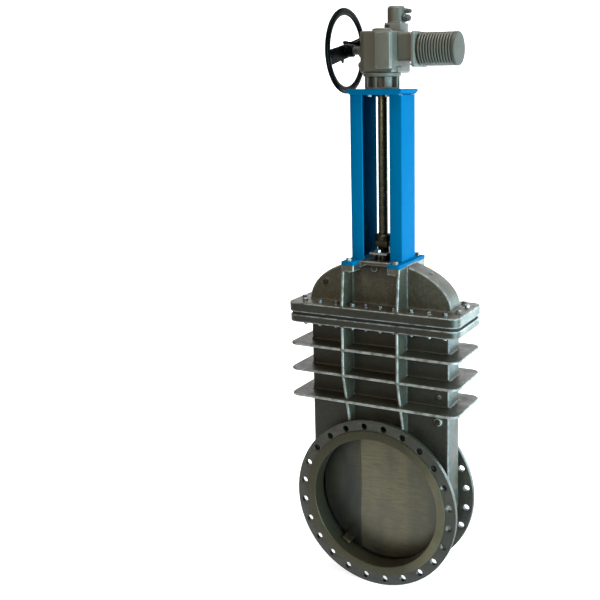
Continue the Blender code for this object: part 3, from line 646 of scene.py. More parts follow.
def make_body():
    bm = bmesh.new()
    inner = chamber_outline(BODY_X - BODY_WALL, BODY_TOP - 0.002)
    slab(bm, "XZ", [chamber_outline(BODY_X, BODY_TOP - 0.006) + inner[::-1]], -BODY_Y, BODY_Y, 0.009)
    for side in SIDES:
        wall = sorted((side * BODY_Y, side * (BODY_Y - BODY_WALL)))
        opening = BORE_R + 0.006
        face = chamber_outline(BODY_X - 0.008, BODY_TOP - 0.006)
        slab(bm, "XZ", [face, circle(0, 0, opening, 96)], *wall, 0)
        root, tip = side * (BODY_Y - 0.008), side * (FACE_Y - FLANGE_T / 2)
        blend = side * 0.012
        profile = [(opening, root), (opening, tip), (NECK_R, tip), (NECK_R, side * BODY_Y + blend),
                   (NECK_R + 0.004, side * BODY_Y + blend / 3), (NECK_R + 0.012, side * BODY_Y),
                   (NECK_R + 0.012, root)]
        lathe(bm, "Y", ORIGIN, profile, 128, closed=True)
    window = rounded(BODY_X - BODY_WALL, BODY_Y - BODY_WALL, 0.008)
    rim = rounded(TOP_X, TOP_Y, CORNER_R, 12)
    slab(bm, "XY", [rim, window], BODY_TOP - TOP_FLANGE_T, BODY_TOP - 0.0005, 0.004)
    hollow = rounded(BODY_X - 0.008, BODY_Y - 0.008, 0.008)
    for z in FIN_TOPS:
        slab(bm, "XY", [rounded(FIN_X, FIN_Y, CORNER_R, 12), hollow], z - FIN_T, z, 0.004)
    wall_y, tip_y, foot_y = BODY_Y - 0.008, FIN_Y + 0.003, FACE_Y - FLANGE_T + 0.004
    stiffeners(bm, [(wall_y, BODY_TOP - 0.006), (tip_y, BODY_TOP - 0.006), (tip_y, FIN_TOPS[1] - 0.006),
                    (foot_y, 0.44), (foot_y, 0.40), (wall_y, 0.40)])
    disc(bm, "Y", (0.331, -BODY_Y - 0.010, 0.479), 0.022, 0.030, 0.003)
    disc(bm, "Y", (0.335, -BODY_Y - 0.004, 0.610), 0.012, 0.020, 0.002)
    cast("body_casting", bm, 0.004, 3, CASTING, "valve_body")


def make_flanges():
    """Drilled pipe flanges with a turned raised face, and the bored neck behind each."""
    holes = [circle(*polar(BOLT_CIRCLE_R, (i + 0.5) * tau / FLANGE_HOLES), FLANGE_HOLE_R, 28)
             for i in range(FLANGE_HOLES)]
    chamfer, liner_r = 0.0035, BORE_R + 0.012
    inner_y, step_y = BODY_Y - BODY_WALL + 0.001, FACE_Y - FACE_STEP - 0.002
    profile = [(BORE_R, inner_y), (BORE_R, FACE_Y - chamfer), (BORE_R + chamfer, FACE_Y), (FACE_R, FACE_Y),
               (FACE_R, step_y), (liner_r, step_y), (liner_r, inner_y)]
    for name, side in (("front", -1), ("rear", 1)):
        levels = sorted((side * (FACE_Y - FACE_STEP), side * (FACE_Y - FLANGE_T)))
        loops = [circle(0, 0, FLANGE_R, 192), circle(0, 0, NECK_R - 0.004, 128), *holes]
        plate_piece(f"{name}_flange_plate", FLANGE_CASTING, "XZ", loops, *levels, 0.0022)
        face = eased([(radius, side * y) for radius, y in profile], 0.0012)
        turned_piece(f"{name}_raised_face", MACHINED, "Y", ORIGIN, face, 192)


def make_plugs():
    for name in ("flush_plug", "vent_plug"):
        low, high, (cx, _, cz) = measured(name)
        bm = bmesh.new()
        disc(bm, "Y", (cx, high.y, cz), 0.0118, low.y + 0.006 - high.y, 0.001)
        hexagon(bm, "Y", (cx, low.y + 0.009, cz), PLUG_HEX, -0.009)
        piece(f"{name}_head", bm, DARK_STEEL, name, slot="stainless_bolting")


def make_seat_and_guide():
    low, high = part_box("seat_ring")
    bore, outer, lip = 0.342, BORE_R - 0.001, BODY_Y - BODY_WALL - 0.0006
    profile = [(bore, high.y), (outer, high.y), (outer, lip), (high.x, lip), (high.x, low.y), (bore, low.y)]
    turned_piece("seat", STEEL, "Y", ORIGIN, eased(profile, 0.0015), 160, "seat_ring")

    low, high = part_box("gate_guide")
    outer = BORE_R - 0.0021
    bm = bmesh.new()
    parts = block(bm, (outer - 0.0148, low.y, -0.0258), (outer, high.y, 0.0258), 0.0022)
    for z in (-0.013, 0.013):
        parts += disc(bm, "Y", (outer - 0.0075, low.y + 0.001, z), 0.0052, -0.0018, 0.0006, 24)
    turned_by(bm, parts, Matrix.Rotation(radians(126), 4, "Y"))
    piece("guide_block", bm, TARNISHED, "gate_guide")


# ---------------------------------------------------------------- gate and stem

def make_gate():
    tongue_x, top, tongue_top = 0.050, 0.375, GATE_HIGH.z
    plate_r = GATE_R - 0.004
    outline = [(tongue_x, tongue_top), (tongue_x, top), (plate_r, top), *arc(0, 0, plate_r, 0, -180, 96),
               (-plate_r, top), (-tongue_x, top), (-tongue_x, tongue_top)]
    plate_piece("gate_plate", PLATE_STEEL, "XZ", [outline], -GATE_Y, GATE_Y, 0.0045, "gate", segments=4,
                body="gate_train")

    low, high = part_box("gate_clevis")
    bm = bmesh.new()
    cheek = high.y - GATE_Y - 0.001
    outline = eased([(high.x, low.z), (high.x, high.z), (low.x, high.z), (low.x, low.z)], 0.012)
    for side in SIDES:
        slab(bm, "XZ", [outline], *sorted((side * high.y, side * (high.y - cheek))), 0.003)
    block(bm, (low.x + 0.001, low.y + 0.002, tongue_top + 0.001), (high.x - 0.001, high.y - 0.002, high.z),
          0.003)
    disc(bm, "Z", (0, 0, high.z - 0.004), 0.046, 0.004, 0.002)
    piece("clevis", bm, DARK_STEEL, "gate_clevis", body="gate_train")

    low, high, (_, _, cz) = measured("clevis_pin")
    bm = bmesh.new()
    disc(bm, "Y", (0, low.y, cz), 0.018, 0.0077, 0.0012)
    disc(bm, "Y", (0, low.y + 0.005, cz), 0.012, high.y - low.y - 0.005, 0.0015)
    piece("clevis_pin_turned", bm, BOLTING, "clevis_pin", body="gate_train")


def make_stem():
    low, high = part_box("stem")
    bm = bmesh.new()
    bore = SPINDLE_R + 0.0015
    profile = [(bore, high.z), (ROD_R, high.z), (ROD_R, low.z), (0.0, low.z), (0.0, 0.620), (bore, 0.620)]
    lathe(bm, "Z", ORIGIN, [*eased(profile[:4], 0.0008, closed=False), *profile[4:], profile[0]], 64)
    bmesh.ops.remove_doubles(bm, verts=bm.verts, dist=0.00001)
    piece("polished_stem", bm, STEM_STEEL, "stem", body="gate_train")

    bm = bmesh.new()
    steps, root = 40, SPINDLE_R - THREAD_DEPTH
    form = ((0.00, root), (0.14, root), (0.32, SPINDLE_R), (0.68, SPINDLE_R), (0.86, root))
    start, end = SPINDLE_LOW.z + 0.004, 2.180
    grid = []
    for turn in range(int((end - start) / THREAD_LEAD)):
        for share, radius in form:
            z = start + (turn + share) * THREAD_LEAD
            grid.append([bm.verts.new((*polar(radius, tau * i / steps), z + THREAD_LEAD * i / steps))
                         for i in range(steps)])
    for lower, upper in zip(grid, grid[1:]):
        for i in range(steps - 1):
            bm.faces.new((lower[i], lower[i + 1], upper[i + 1], upper[i]))
    ahead = grid[len(form):]
    for k in range(len(ahead) - 1):
        bm.faces.new((grid[k][-1], ahead[k][0], ahead[k + 1][0], grid[k + 1][-1]))
    disc(bm, "Z", (0, 0, SPINDLE_LOW.z), root + 0.0002, end - SPINDLE_LOW.z, 0.002, 40)
    disc(bm, "Z", (0, 0, end - 0.020), SPINDLE_R, SPINDLE_HIGH.z - end + 0.020, 0.002, 40)
    piece("threaded_spindle", bm, SCREW_STEEL, "spindle", body="output_drive", sharp=50)


def make_nut():
    low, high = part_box("nut_carrier")
    nut_low, nut_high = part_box("spindle_nut")
    loops = [rounded(high.x, high.y, 0.014), circle(0, 0, SPINDLE_R + 0.0018, 48)]
    plate_piece("carrier", DARK_STEEL, "XY", loops, low.z, high.z, 0.004, "nut_carrier", body="gate_train")
    bm = bmesh.new()
    radius, top = nut_high.x, nut_high.z
    waist = nut_low.z + (top - nut_low.z) * 0.45
    profile = [(SPINDLE_R + 0.0004, nut_low.z), (radius, nut_low.z), (radius, waist - 0.0015),
               (radius - 0.0025, waist), (radius, waist + 0.0015), (radius, top - 0.010),
               (radius - 0.009, top), (SPINDLE_R + 0.0004, top)]
    lathe(bm, "Z", ORIGIN, eased(profile, 0.002), 72, closed=True)
    for turn in range(4):
        disc(bm, "Z", (*polar(0.035, radians(45 + 90 * turn)), top - 0.004), 0.0042, 0.0035, 0.0008, 20)
    piece("bronze_nut_housing", bm, DARK_STEEL, "spindle_nut", body="gate_train")


# ---------------------------------------------------------------- bonnet

def arch_outline(half_x, rise, base, foot, count=56):
    """Half an ellipse on upright sides that run down to the foot."""
    points = [(half_x * cos(a), base + rise * sin(a))
              for a in (pi * i / count for i in range(count + 1))]
    return [(half_x, foot), *points, (-half_x, foot)]


def make_bonnet():
    top = BONNET_BASE + BONNET_FLANGE_T
    bm = bmesh.new()
    window = rounded(ARCH_X - 0.017, ARCH_Y - 0.017, 0.008)
    edge_x, edge_y = BONNET_HIGH.x - 0.0003, BONNET_HIGH.y - 0.0003
    slab(bm, "XY", [rounded(edge_x, edge_y, CORNER_R, 12), window], BONNET_BASE + 0.0005, top, 0.004)
    outer = [(x, min(z, DECK_Z - 0.001)) for x, z in arch_outline(ARCH_X, ARCH_RISE, top, top - 0.020)]
    inner = arch_outline(ARCH_X - 0.017, ARCH_RISE - 0.025, top, top - 0.030)
    slab(bm, "XZ", [outer + inner[::-1]], -ARCH_Y, ARCH_Y, 0.008)
    face = arch_outline(ARCH_X - 0.007, ARCH_RISE - 0.007, top, top - 0.020)
    face = [(x, min(z, DECK_Z - 0.002)) for x, z in face]
    for side in SIDES:
        slab(bm, "XZ", [face], *sorted((side * ARCH_Y, side * (ARCH_Y - 0.017))), 0)
    slab(bm, "XY", [rounded(PAD_X, DECK_Y, 0.010), circle(0, 0, 0.044, 48)], DECK_Z - DECK_T, DECK_Z, 0.004)
    foot, wall_y = top - 0.004, ARCH_Y - 0.008
    stiffeners(bm, [(wall_y, foot), (TOP_Y, foot), (TOP_Y, foot + 0.004), (PAD_Y, DECK_Z - 0.040),
                    (wall_y, DECK_Z - 0.040)])
    sweep, drop = 0.042, 0.026
    for side in SIDES:
        x0, x1 = side * PAD_X - PAD_W / 2, side * PAD_X + PAD_W / 2
        block(bm, (x0, -PAD_Y, DECK_Z - 0.046), (x1, PAD_Y, DECK_Z), 0.003, 0.005)
        inner_x = side * (PAD_X - PAD_W / 2)
        gusset = [(inner_x + side * 0.010, DECK_Z - 0.010), (inner_x - side * sweep, DECK_Z - 0.010)]
        gusset += [(inner_x - side * sweep * (1 - cos(a)), DECK_Z - DECK_T - drop * (1 - sin(a)))
                   for a in (pi / 2 * k / 8 for k in range(8, -1, -1))]
        gusset += [(inner_x + side * 0.010, DECK_Z - DECK_T - drop)]
        for front in SIDES:
            slab(bm, "XZ", [gusset], *sorted((front * wall_y, front * DECK_Y)), 0.0)
    for front in SIDES:
        disc(bm, "Y", (-0.017, front * wall_y, DECK_Z - DECK_T - 0.014), 0.020, front * 0.022, 0.003)
    bore, box_r, box_low, box_top = 0.0475, 0.068, DECK_Z - 0.078, DECK_Z + 0.0005
    stuffing_box = [(bore, box_low), (box_r, box_low), (box_r, box_top), (bore, box_top)]
    lathe(bm, "Z", ORIGIN, stuffing_box, 64, closed=True)
    cx, _, cz = measured("vent_plug")[2]
    disc(bm, "Y", (cx, -ARCH_Y + 0.004, cz), 0.021, -0.007, 0.002)
    for x in (-0.232, 0.262):
        z = top + ARCH_RISE * sqrt(1 - (x / ARCH_X) ** 2)
        disc(bm, "Z", (x, 0, z - 0.012), 0.009, 0.018, 0.003)
    cast("bonnet_casting", bm, 0.0036, 3, CASTING, "bonnet")

    loops = [rounded(TOP_X - 0.009, TOP_Y - 0.009, CORNER_R - 0.009, 12), window]
    plate_piece("cover_gasket", RUBBER, "XY", loops, BODY_TOP, BONNET_BASE, 0.002, "bonnet_gasket")


def cover_bolt_places():
    """Ten bolts along each long side of the cover joint, and one more at each end, front and back."""
    along = (0.040, 0.116, 0.209, 0.304, 0.388)
    places = [(x, 0.131) for x in along] + [(0.432, 0.060)]
    return [(sx * x, sy * y) for x, y in places for sx, sy in CORNERS]


def make_cover_bolts():
    top = BONNET_BASE + BONNET_FLANGE_T
    under = BODY_TOP - TOP_FLANGE_T
    heads, nuts = bmesh.new(), bmesh.new()
    for number, (x, y) in enumerate(cover_bolt_places()):
        turn = radians(37 * number % 60)
        disc(heads, "Z", (x, y, top - 0.0005), 0.0155, 0.0028, 0.0006, 32)
        hexagon(heads, "Z", (x, y, top + 0.002), COVER_HEX, 0.0125, turn)
        disc(nuts, "Z", (x, y, under + 0.0005), 0.0155, -0.0028, 0.0006, 32)
        hexagon(nuts, "Z", (x, y, under - 0.002), COVER_HEX, -0.0130, turn / 2)
        disc(nuts, "Z", (x, y, under - 0.010), 0.0078, -0.010, 0.0012, 24)
    piece("cover_bolts", heads, BOLTING)
    piece("cover_nuts", nuts, BOLTING)


def make_gland():
    low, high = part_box("gland_follower")
    reach = -measured("gland_stud_1")[2][1]
    plate_low = high.z - GLAND_T
    bore, sleeve_r, sleeve_top = ROD_R + 0.001, 0.0452, plate_low + 0.001
    loops = [rounded(high.x, high.y, 0.008, 5), circle(0, 0, bore, 48)]
    plate_piece("gland_plate", BOLTING, "XY", loops, plate_low, high.z, 0.0015, "gland_follower")
    profile = eased([(bore, low.z), (sleeve_r, low.z), (sleeve_r, sleeve_top), (bore, sleeve_top)], 0.001)
    turned_piece("gland_sleeve", DARK_STEEL, "Z", ORIGIN, profile, 64, "gland_follower",
                 slot="stainless_bolting")
    for number, y in enumerate((-reach, reach), start=1):
        low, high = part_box(f"gland_stud_{number}")
        nut_low, nut_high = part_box(f"gland_nut_{number}")
        bm = bmesh.new()
        threaded(bm, (0, y, low.z), high.z - low.z, 0.006, 0.00125)
        piece(f"gland_stud_rod_{number}", bm, BOLTING, f"gland_stud_{number}")
        bm = bmesh.new()
        disc(bm, "Z", (0, y, nut_low.z), 0.0120, 0.0015, 0.0004, 32)
        hexagon(bm, "Z", (0, y, nut_low.z + 0.0012), GLAND_HEX, nut_high.z - nut_low.z - 0.0012, 0.3)
        piece(f"gland_hex_nut_{number}", bm, BOLTING, f"gland_nut_{number}")


def threaded(bm, at, length, radius, pitch):
    """A stud with thread grooves as fine rings and a chamfered end."""
    turns = int(length / pitch)
    profile = [(0.0, 0.0), (radius * 0.85, 0.0)]
    for number in range(turns):
        base = number * pitch
        profile += [(radius * 0.88, base + pitch * 0.1), (radius, base + pitch * 0.5)]
    profile += [(radius * 0.80, length), (0.0, length)]
    return lathe(bm, "Z", at, profile, 24)


# ---------------------------------------------------------------- yoke

def make_yoke():
    for side_name, side in (("left", -1), ("right", 1)):
        name = f"yoke_foot_{side_name}"
        low, high, (cx, _, _) = measured(name)
        outline = rounded((high.x - low.x) / 2, high.y, 0.003, 3, cx)
        plate_piece(f"foot_plate_{side_name}", BLUE, "XY", [outline], low.z, high.z, 0.0016, name)
        foot_top = high.z

        low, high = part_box(f"yoke_channel_{side_name}")
        out, tips = (high.x, low.x) if side > 0 else (low.x, high.x)
        thick = 0.009
        web = out - side * thick
        y, inner = high.y, high.y - thick
        inside = [(tips, inner), (web, inner), (web, -inner), (tips, -inner)]
        bm = bmesh.new()
        outline = [(out, -y), (out, y), (tips, y), *inside, (tips, -y)]
        slab(bm, "XY", [eased(outline, 0.0035, count=4)], low.z, high.z, 0.001)
        throat = 0.004
        proud, wide = out + side * throat, y + throat
        outline = [(proud, -wide), (proud, wide), (tips, wide), *inside, (tips, -wide)]
        slab(bm, "XY", [eased(outline, 0.003)], foot_top, foot_top + 0.0045, 0.0035)
        piece(f"channel_{side_name}", bm, BLUE, f"yoke_channel_{side_name}")

    low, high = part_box("yoke_top_plate")
    cut_x, cut_z = 0.017, 0.014
    profile = [(high.x, high.z), (high.x, low.z + cut_z), (high.x - cut_x, low.z), (low.x + cut_x, low.z),
               (low.x, low.z + cut_z), (low.x, high.z)]
    plate_piece("top_plate", BLUE, "XZ", [eased(profile, 0.003)], low.y, high.y, 0.002, "yoke_top_plate")

    for number in range(1, 5):
        name = f"foot_bolt_{number}"
        low, high, (x, y, _) = measured(name)
        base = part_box("yoke_foot_left")[1].z
        bm = bmesh.new()
        disc(bm, "Z", (x, y, base), 0.0165, 0.0028, 0.0006, 40)
        hexagon(bm, "Z", (x, y, base + 0.0024), FOOT_HEX, high.z - base - 0.0024 - 0.001, 0.2 * number)
        disc(bm, "Z", (x, y, low.z), 0.0098, base - low.z, 0.0015, 32)
        piece(f"foot_screw_{number}", bm, BOLTING, name)
        name = f"actuator_bolt_{number}"
        low, high, (x, y, _) = measured(name)
        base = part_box("yoke_top_plate")[0].z
        bm = bmesh.new()
        hexagon(bm, "Z", (x, y, base), NECK_HEX, low.z - base, 0.15 * number)
        disc(bm, "Z", (x, y, base - 0.001), 0.0078, high.z - base, 0.0012, 24)
        piece(f"actuator_screw_{number}", bm, BOLTING, name)


# ---------------------------------------------------------------- actuator

def sector(inner, outer, start, end, count=10):
    """Part of a ring, between two angles in degrees."""
    return arc(0, 0, outer, start, end, count) + arc(0, 0, inner, end, start, count)


def make_neck():
    low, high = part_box("actuator_neck")
    bore, outer, collar_t, foot_t = 0.044, high.x, 0.014, 0.006
    under = high.z - collar_t - 0.004
    collar = [(bore, high.z), (outer, high.z), (outer, high.z - collar_t), (outer - 0.007, under),
              (bore, under)]
    foot = [(bore, low.z + foot_t), (outer - 0.009, low.z + foot_t), (outer - 0.009, low.z), (bore, low.z)]
    tube = [(bore, high.z - 0.016), (0.054, high.z - 0.016), (0.054, low.z + 0.004), (bore, low.z + 0.004)]
    bm = bmesh.new()
    lathe(bm, "Z", ORIGIN, eased(collar, 0.0025), 96, closed=True)
    lathe(bm, "Z", ORIGIN, eased(foot, 0.0015), 96, closed=True)
    lathe(bm, "Z", ORIGIN, tube, 64, closed=True)
    for quarter in range(4):
        middle = 45 + 90 * quarter
        for column, ease in ((sector(0.050, outer - 0.007, middle - 13, middle + 13), 0.004),
                             (sector(0.050, outer - 0.012, middle + 41, middle + 49, 4), 0.002)):
            slab(bm, "XY", [eased(column, ease)], low.z + 0.003, high.z - collar_t - 0.002, 0.001)
    cast("neck_casting", bm, 0.0016, 2, GREY, "actuator_neck")


def make_housing():
    low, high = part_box("gear_housing")
    wall_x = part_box("motor_adapter")[0].x - 0.0005
    boss_x = low.x
    body_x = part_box("declutch_lever")[1].x + 0.0003
    y0, y1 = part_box("front_cover")[1].y + 0.0003, high.y
    corner, rear_r, front_r = 0.045, 0.012, 0.006
    outline = arc(wall_x - rear_r, y1 - rear_r, rear_r, 0, 90, 4)
    outline += arc(body_x + corner, y1 - corner, corner, 90, 180, 12)
    outline += arc(body_x + corner, y0 + corner, corner, 180, 270, 12)
    outline += arc(wall_x - front_r, y0 + front_r, front_r, 270, 360, 3)
    bm = bmesh.new()
    slab(bm, "XY", [outline], low.z, high.z, 0.011, 5)
    boss = [(0.0, boss_x), (0.030, boss_x), (0.034, boss_x + 0.004), (0.034, body_x + 0.002),
            (0.046, body_x + 0.010), (0.0, body_x + 0.010)]
    lathe(bm, "X", WORM_AXIS, boss, 64)
    block(bm, (0.010, -0.020, low.z + 0.001), (0.096, 0.030, low.z + 0.028), 0.003)
    for y in (-0.045, 0.100):
        disc(bm, "X", (body_x + 0.012, y, 2.240), 0.016, -0.016, 0.003)
    cast("gear_case", bm, 0.0024, 2, GREY, "gear_housing")

    low, high, (cx, _, cz) = measured("front_cover")
    half_x, half_z = (high.x - low.x) / 2, (high.z - low.z) / 2
    bm = bmesh.new()
    slab(bm, "XZ", [rounded(half_x, half_z, 0.008, 6, cx, cz)], low.y, high.y, 0.0055, 4)
    slab(bm, "XZ", [rounded(half_x - 0.0015, half_z - 0.0015, 0.007, 6, cx, cz)], high.y - 0.004, high.y, 0)
    piece("switch_cover", bm, GREY, "front_cover")
    screws = bmesh.new()
    for sx, sz in CORNERS:
        socket_screw(screws, (cx + sx * (half_x - 0.010), low.y, cz + sz * (half_z - 0.011)))
    piece("switch_cover_screws", screws, GREY, slot="stainless_bolting")

    low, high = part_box("top_cap")
    radius = high.x
    profile = eased([(0.0, low.z), (radius, low.z), (radius, high.z - 0.005), (radius - 0.006, high.z),
                     (0.012, high.z), (0.010, high.z - 0.002), (0.0, high.z - 0.002)], 0.002, closed=False)
    turned_piece("spindle_cap", GREY, "Z", ORIGIN, profile, 72, "top_cap", closed=False)


def socket_screw(bm, at):
    """A cap screw sunk almost flush in a cover that faces the front."""
    x, y, z = at
    profile = [(0.0, y + 0.004), (0.0046, y + 0.004), (0.0046, y + 0.0002), (0.0042, y - 0.0002),
               (0.0024, y - 0.0002), (0.0022, y + 0.0022), (0.0, y + 0.0022)]
    lathe(bm, "Y", (x, 0, z), profile, 24)


def make_motor():
    low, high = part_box("motor_adapter")
    bm = bmesh.new()
    slab(bm, "YZ", [rounded(0.073, 0.068, 0.014, 8, WORM_Y, WORM_Z + 0.011)], low.x, high.x, 0.003)
    half_y, lid_x = 0.060, 0.122
    block(bm, (low.x + 0.0002, WORM_Y - half_y, WORM_Z + 0.055), (lid_x, WORM_Y + half_y, high.z - 0.0005),
          0.003)
    cast("adapter_casting", bm, 0.0022, 2, GREY, "motor_adapter")

    low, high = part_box("motor_flange")
    loops = [rounded(0.085, 0.085, 0.018, 10, WORM_Y, WORM_Z), circle(WORM_Y, WORM_Z, 0.030, 32)]
    plate_piece("motor_square_flange", GREY, "YZ", loops, low.x, high.x, 0.0025, "motor_flange")
    bolts = bmesh.new()
    for sy, sz in CORNERS:
        y, z = WORM_Y + sy * 0.070, WORM_Z + sz * 0.070
        disc(bolts, "X", (low.x + 0.0004, y, z), 0.0085, -0.0016, 0.0004, 28)
        hexagon(bolts, "X", (low.x + 0.0004 - 0.0014, y, z), MOTOR_HEX, -0.0065, 0.3)
    piece("motor_flange_bolts", bolts, BOLTING)

    low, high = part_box("motor_housing")
    fins, pitch, root, shoulder = 12, 0.0143, MOTOR_R - 0.012, MOTOR_R - 0.0012
    bm = bmesh.new()
    profile = [(0.0, high.x), (root, high.x)]
    for number in range(fins):
        x = high.x - 0.003 - number * pitch
        profile += [(root, x + 0.0004), (shoulder, x - 0.0004), (MOTOR_R, x - 0.0024), (MOTOR_R, x - 0.0066),
                    (shoulder, x - 0.0086), (root, x - 0.0094)]
    profile += [(root, low.x), (0.0, low.x)]
    lathe(bm, "X", WORM_AXIS, eased(profile, 0.0008, closed=False, count=2), 112)
    for turn in (28, 152, 208, 332):
        verts = block(bm, (low.x + 0.006, -0.0055, root - 0.004), (high.x - 0.002, 0.0055, MOTOR_R - 0.0015),
                      0.002)
        turned_by(bm, verts, Matrix.Translation(WORM_AXIS) @ Matrix.Rotation(radians(turn), 4, "X"))
    piece("finned_motor", bm, FIN_GREY, "motor_housing")

    back, face, chamfer = MOTOR_LOW.x, MOTOR_HIGH.x, 0.004
    profile = [(0.0, back), (MOTOR_R, back), (MOTOR_R, face - chamfer), (MOTOR_R - chamfer, face),
               (0.0, face)]
    turned_piece("motor_cap", CAP_GREY, "X", WORM_AXIS, eased(profile, 0.003, closed=False), 112,
                 "motor_end_cover", closed=False)


def make_plug():
    low, high, (cx, cy, _) = measured("plug_base")
    half = (high.x - low.x) / 2
    bm = bmesh.new()
    slab(bm, "XY", [rounded(half, half, 0.007, 6, cx, cy)], low.z, high.z, 0.002)
    block(bm, (low.x, low.y, low.z + 0.002), (low.x + 0.030, low.y + 0.030, high.z - 0.006), 0.002)
    piece("plug_socket", bm, GREY, "plug_base")
    screws = bmesh.new()
    for sx, sy in CORNERS:
        at = (cx + sx * (half - 0.006), cy + sy * (half - 0.006), high.z - 0.001)
        disc(screws, "Z", at, 0.0042, 0.0036, 0.0008, 24)
    piece("plug_screws", screws, BOLTING)

    low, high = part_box("plug_cover")
    radius = (high.x - low.x) / 2
    wall = radius - 0.0012
    profile = [(0.0, low.z), (radius, low.z), (radius, low.z + 0.006), (wall, low.z + 0.007),
               (wall, high.z - 0.012), (radius - 0.008, high.z - 0.001), (radius - 0.014, high.z),
               (0.0, high.z)]
    turned_piece("plug_hood", GREY, "Z", (cx, cy, 0), eased(profile, 0.003, closed=False), 80, "plug_cover",
                 closed=False)

    for number in (1, 2):
        low, high, (_, y, z) = measured(f"cable_gland_{number}")
        radius = (high.z - low.z) / 2
        bm = bmesh.new()
        disc(bm, "X", (low.x - 0.006, y, z), radius * 0.80, 0.010, 0.001)
        hexagon(bm, "X", (low.x - 0.002, y, z), radius * 1.95, 0.012, 0.25)
        disc(bm, "X", (low.x + 0.008, y, z), radius * 0.90, 0.006, 0.0008)
        hexagon(bm, "X", (low.x + 0.012, y, z), radius * 1.90, 0.013, 0.6)
        seal = [(0.0, low.x + 0.022), (radius * 0.90, low.x + 0.022), (radius * 0.80, high.x - 0.001),
                (radius * 0.45, high.x), (radius * 0.40, high.x - 0.004), (0.0, high.x - 0.004)]
        lathe(bm, "X", (0, y, z), eased(seal, 0.002, closed=False), 40)
        piece(f"gland_fitting_{number}", bm, DARK_GREY, f"cable_gland_{number}")


def make_wheel():
    low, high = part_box("handwheel")
    outer = (high.z - low.z) / 2
    rim_half = 0.019
    rim_r = outer - rim_half
    shaft_low, shaft_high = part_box("wheel_shaft")
    at = Vector((shaft_low.x - 0.0453, WORM_Y, WORM_Z))
    bm = bmesh.new()
    profile = [(rim_r + rim_half * cos(a), 0.0115 * sin(a)) for a in (tau * i / 20 for i in range(20))]
    lathe(bm, "X", at, profile, 144, closed=True)
    lower = [(-rim_r, -0.046), (-0.165, -0.038), (-0.080, -0.036), (0.080, -0.036), (0.165, -0.038),
             (rim_r, -0.046)]
    web = lower + [(y, -z) for y, z in lower[::-1]]
    verts = slab(bm, "YZ", [web], -0.0055, 0.0055, 0.002)
    lug = [(-0.060, -0.030), (-0.036, -0.030), (-0.044, -0.052), (-0.052, -0.052)]
    verts += slab(bm, "YZ", [eased(lug, 0.004)], -0.005, 0.005, 0.001)
    turned_by(bm, verts, Matrix.Translation(at) @ Matrix.Rotation(WHEEL_TURN, 4, "X"))
    hub = [(0.0, -0.0095), (0.024, -0.0095), (0.030, -0.004), (0.034, 0.006), (0.030, 0.014), (0.030, 0.0448),
           (0.0, 0.0448)]
    lathe(bm, "X", at, eased(hub, 0.004, closed=False, count=4), 64)
    cast("handwheel_casting", bm, 0.0022, 4, BLACK, "handwheel", body="hand_drive")

    bm = bmesh.new()
    disc(bm, "X", (shaft_low.x, WORM_Y, WORM_Z), 0.0200, shaft_high.x - shaft_low.x, 0.001)
    piece("wheel_shaft_turned", bm, DARK_GREY, "wheel_shaft", body="hand_drive", slot="machined_steel")


def make_lever():
    low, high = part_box("declutch_lever")
    grip_low, grip_high, (arm_x, _, z) = measured("lever_grip")
    y = -0.010
    bm = bmesh.new()
    disc(bm, "X", (low.x, y, z), 0.0138, high.x - low.x, 0.002)
    outline = eased([(y, 0.0095), (low.y, 0.0058), (low.y, -0.0058), (y, -0.0095)], 0.002)
    outline = [(a, b + z) for a, b in outline]
    slab(bm, "YZ", [outline], arm_x - 0.0038, arm_x + 0.0038, 0.0018)
    piece("declutch_arm", bm, BLACK, "declutch_lever", body="declutch", slot="actuator_grey")
    length = grip_high.y - grip_low.y
    profile = [(0.0, 0.0), (0.0075, 0.0), (0.0090, 0.006), (0.0082, 0.5 * length), (0.0090, length - 0.005),
               (0.0070, length), (0.0, length)]
    turned_piece("lever_knob", BLACK, "Y", (arm_x, grip_low.y, z), eased(profile, 0.005, closed=False), 40,
                 "lever_grip", closed=False, body="declutch")


def dress_inner_nodes():
    """Inner pieces keep their CAD shape and take a finished surface."""
    looks = {"drive_sleeve": STEEL, "worm_wheel": BRONZE, "bearing_lower": STEEL, "bearing_upper": STEEL,
             "worm_shaft": STEEL}
    looks.update({f"packing_ring_{number}": RUBBER for number in range(1, 5)})
    for name, surface in looks.items():
        mesh = frame["nodes"][name].data
        mesh.materials.clear()
        mesh.materials.append(surface)


# ---------------------------------------------------------------- stage

def make_stage():
    """A pale floor under the flanges that curves up into a backdrop."""
    floor_z = CAD_BOX[0][2] - 0.0005
    reach, radius, wall = 9.0, 2.5, 9.0
    path = [(-reach, 0.0), (reach - radius, 0.0)]
    path += [(reach - radius + radius * sin(a), radius * (1 - cos(a)))
             for a in (pi / 2 * k / 16 for k in range(1, 17))]
    path.append((reach, wall))
    bm = bmesh.new()
    rows = [[bm.verts.new((x, y, floor_z + z)) for x in (-14.0, 14.0)] for y, z in path]
    for lower, upper in zip(rows, rows[1:]):
        bm.faces.new((lower[0], lower[1], upper[1], upper[0]))
    mesh = bpy.data.meshes.new("floor")
    bm.to_mesh(mesh)
    bm.free()
    mesh.materials.append(floor_look())
    mesh.shade_smooth()
    floor = bpy.data.objects.new("floor", mesh)
    bpy.context.scene.collection.objects.link(floor)


def light(name, place, target, size, power, colour):
    lamp = bpy.data.lights.new(name, "AREA")
    lamp.shape = "RECTANGLE"
    lamp.size, lamp.size_y = size
    lamp.energy = power
    lamp.color = colour
    obj = bpy.data.objects.new(name, lamp)
    obj.location = place
    obj.rotation_euler = (Vector(target) - Vector(place)).to_track_quat("-Z", "Y").to_euler()
    bpy.context.scene.collection.objects.link(obj)


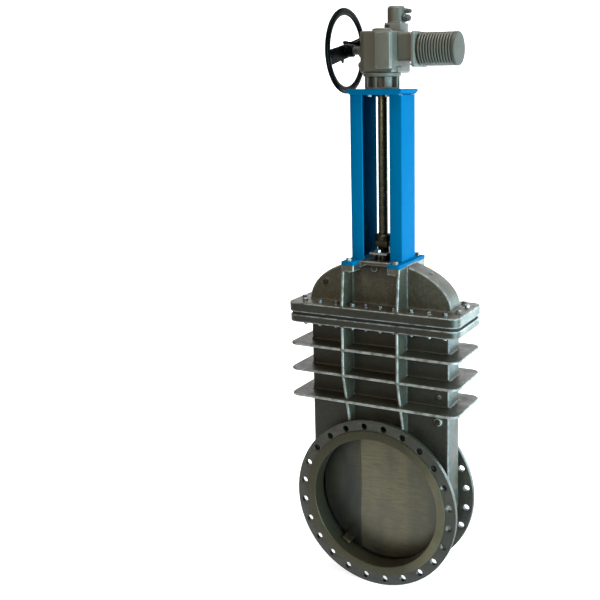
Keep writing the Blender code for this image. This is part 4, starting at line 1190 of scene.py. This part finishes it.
def make_lights():
    """A strong cool key from the right, weak warm fill from the front, and a wash on the backdrop alone."""
    middle = (0.0, 0.0, 1.0)
    light("right_key", (5.6, -1.4, 0.9), (0.0, 0.0, 0.6), (3.0, 4.0), 1000, (0.54, 0.85, 1.0))
    light("rear_right_rim", (2.6, 3.7, 0.45), (0.0, 0.0, 0.7), (2.4, 1.7), 130, (0.62, 0.88, 1.0))
    light("front_fill", (0.3, -5.4, 3.0), middle, (2.0, 2.0), 115, (1.0, 0.90, 0.70))
    light("left_glow", (-2.6, -5.0, 1.6), (0.0, 0.0, 0.2), (1.8, 1.8), 25, (1.0, 0.95, 0.82))
    light("top_light", (0.3, -0.2, 5.6), middle, (3.0, 3.0), 240, (1.0, 1.0, 1.0))
    light("backdrop_wash", (0.0, 3.4, 5.4), (0.0, 9.5, 1.5), (9.0, 1.5), 1150, (1.0, 1.0, 1.0))
    world = bpy.data.worlds.new("studio")
    world.use_nodes = True
    backdrop = world.node_tree.nodes["Background"]
    backdrop.inputs[0].default_value = (1.0, 1.0, 1.0, 1.0)
    backdrop.inputs[1].default_value = 0.06
    bpy.context.scene.world = world


def make_camera():
    """A long lens from the front and the right, a little above the bonnet, with the horizon almost level."""
    yaw, pitch, roll = radians(25.035), radians(-11.118), radians(-0.399)
    data = bpy.data.cameras.new("camera")
    data.sensor_width = 36.0
    data.sensor_fit = "HORIZONTAL"
    data.lens = 53.85
    data.shift_x, data.shift_y = -0.14676, -0.06286
    view = Vector((-sin(yaw) * cos(pitch), cos(yaw) * cos(pitch), sin(pitch)))
    level = Vector((cos(yaw), sin(yaw), 0.0))
    upright = level.cross(view)
    right = level * cos(roll) + upright * sin(roll)
    up = upright * cos(roll) - level * sin(roll)
    turn = Matrix((right, up, -view)).transposed().to_4x4()
    obj = bpy.data.objects.new("camera", data)
    obj.matrix_world = Matrix.Translation((1.9181, -4.0547, 2.1409)) @ turn
    bpy.context.scene.collection.objects.link(obj)
    bpy.context.scene.camera = obj


make_camera()
make_body()
make_flanges()
make_plugs()
make_seat_and_guide()
make_gate()
make_stem()
make_nut()
make_bonnet()
make_cover_bolts()
make_gland()
make_yoke()
make_neck()
make_housing()
make_motor()
make_plug()
make_wheel()
make_lever()
dress_inner_nodes()
make_stage()
make_lights()
bpy.context.scene.view_settings.view_transform = "Standard"
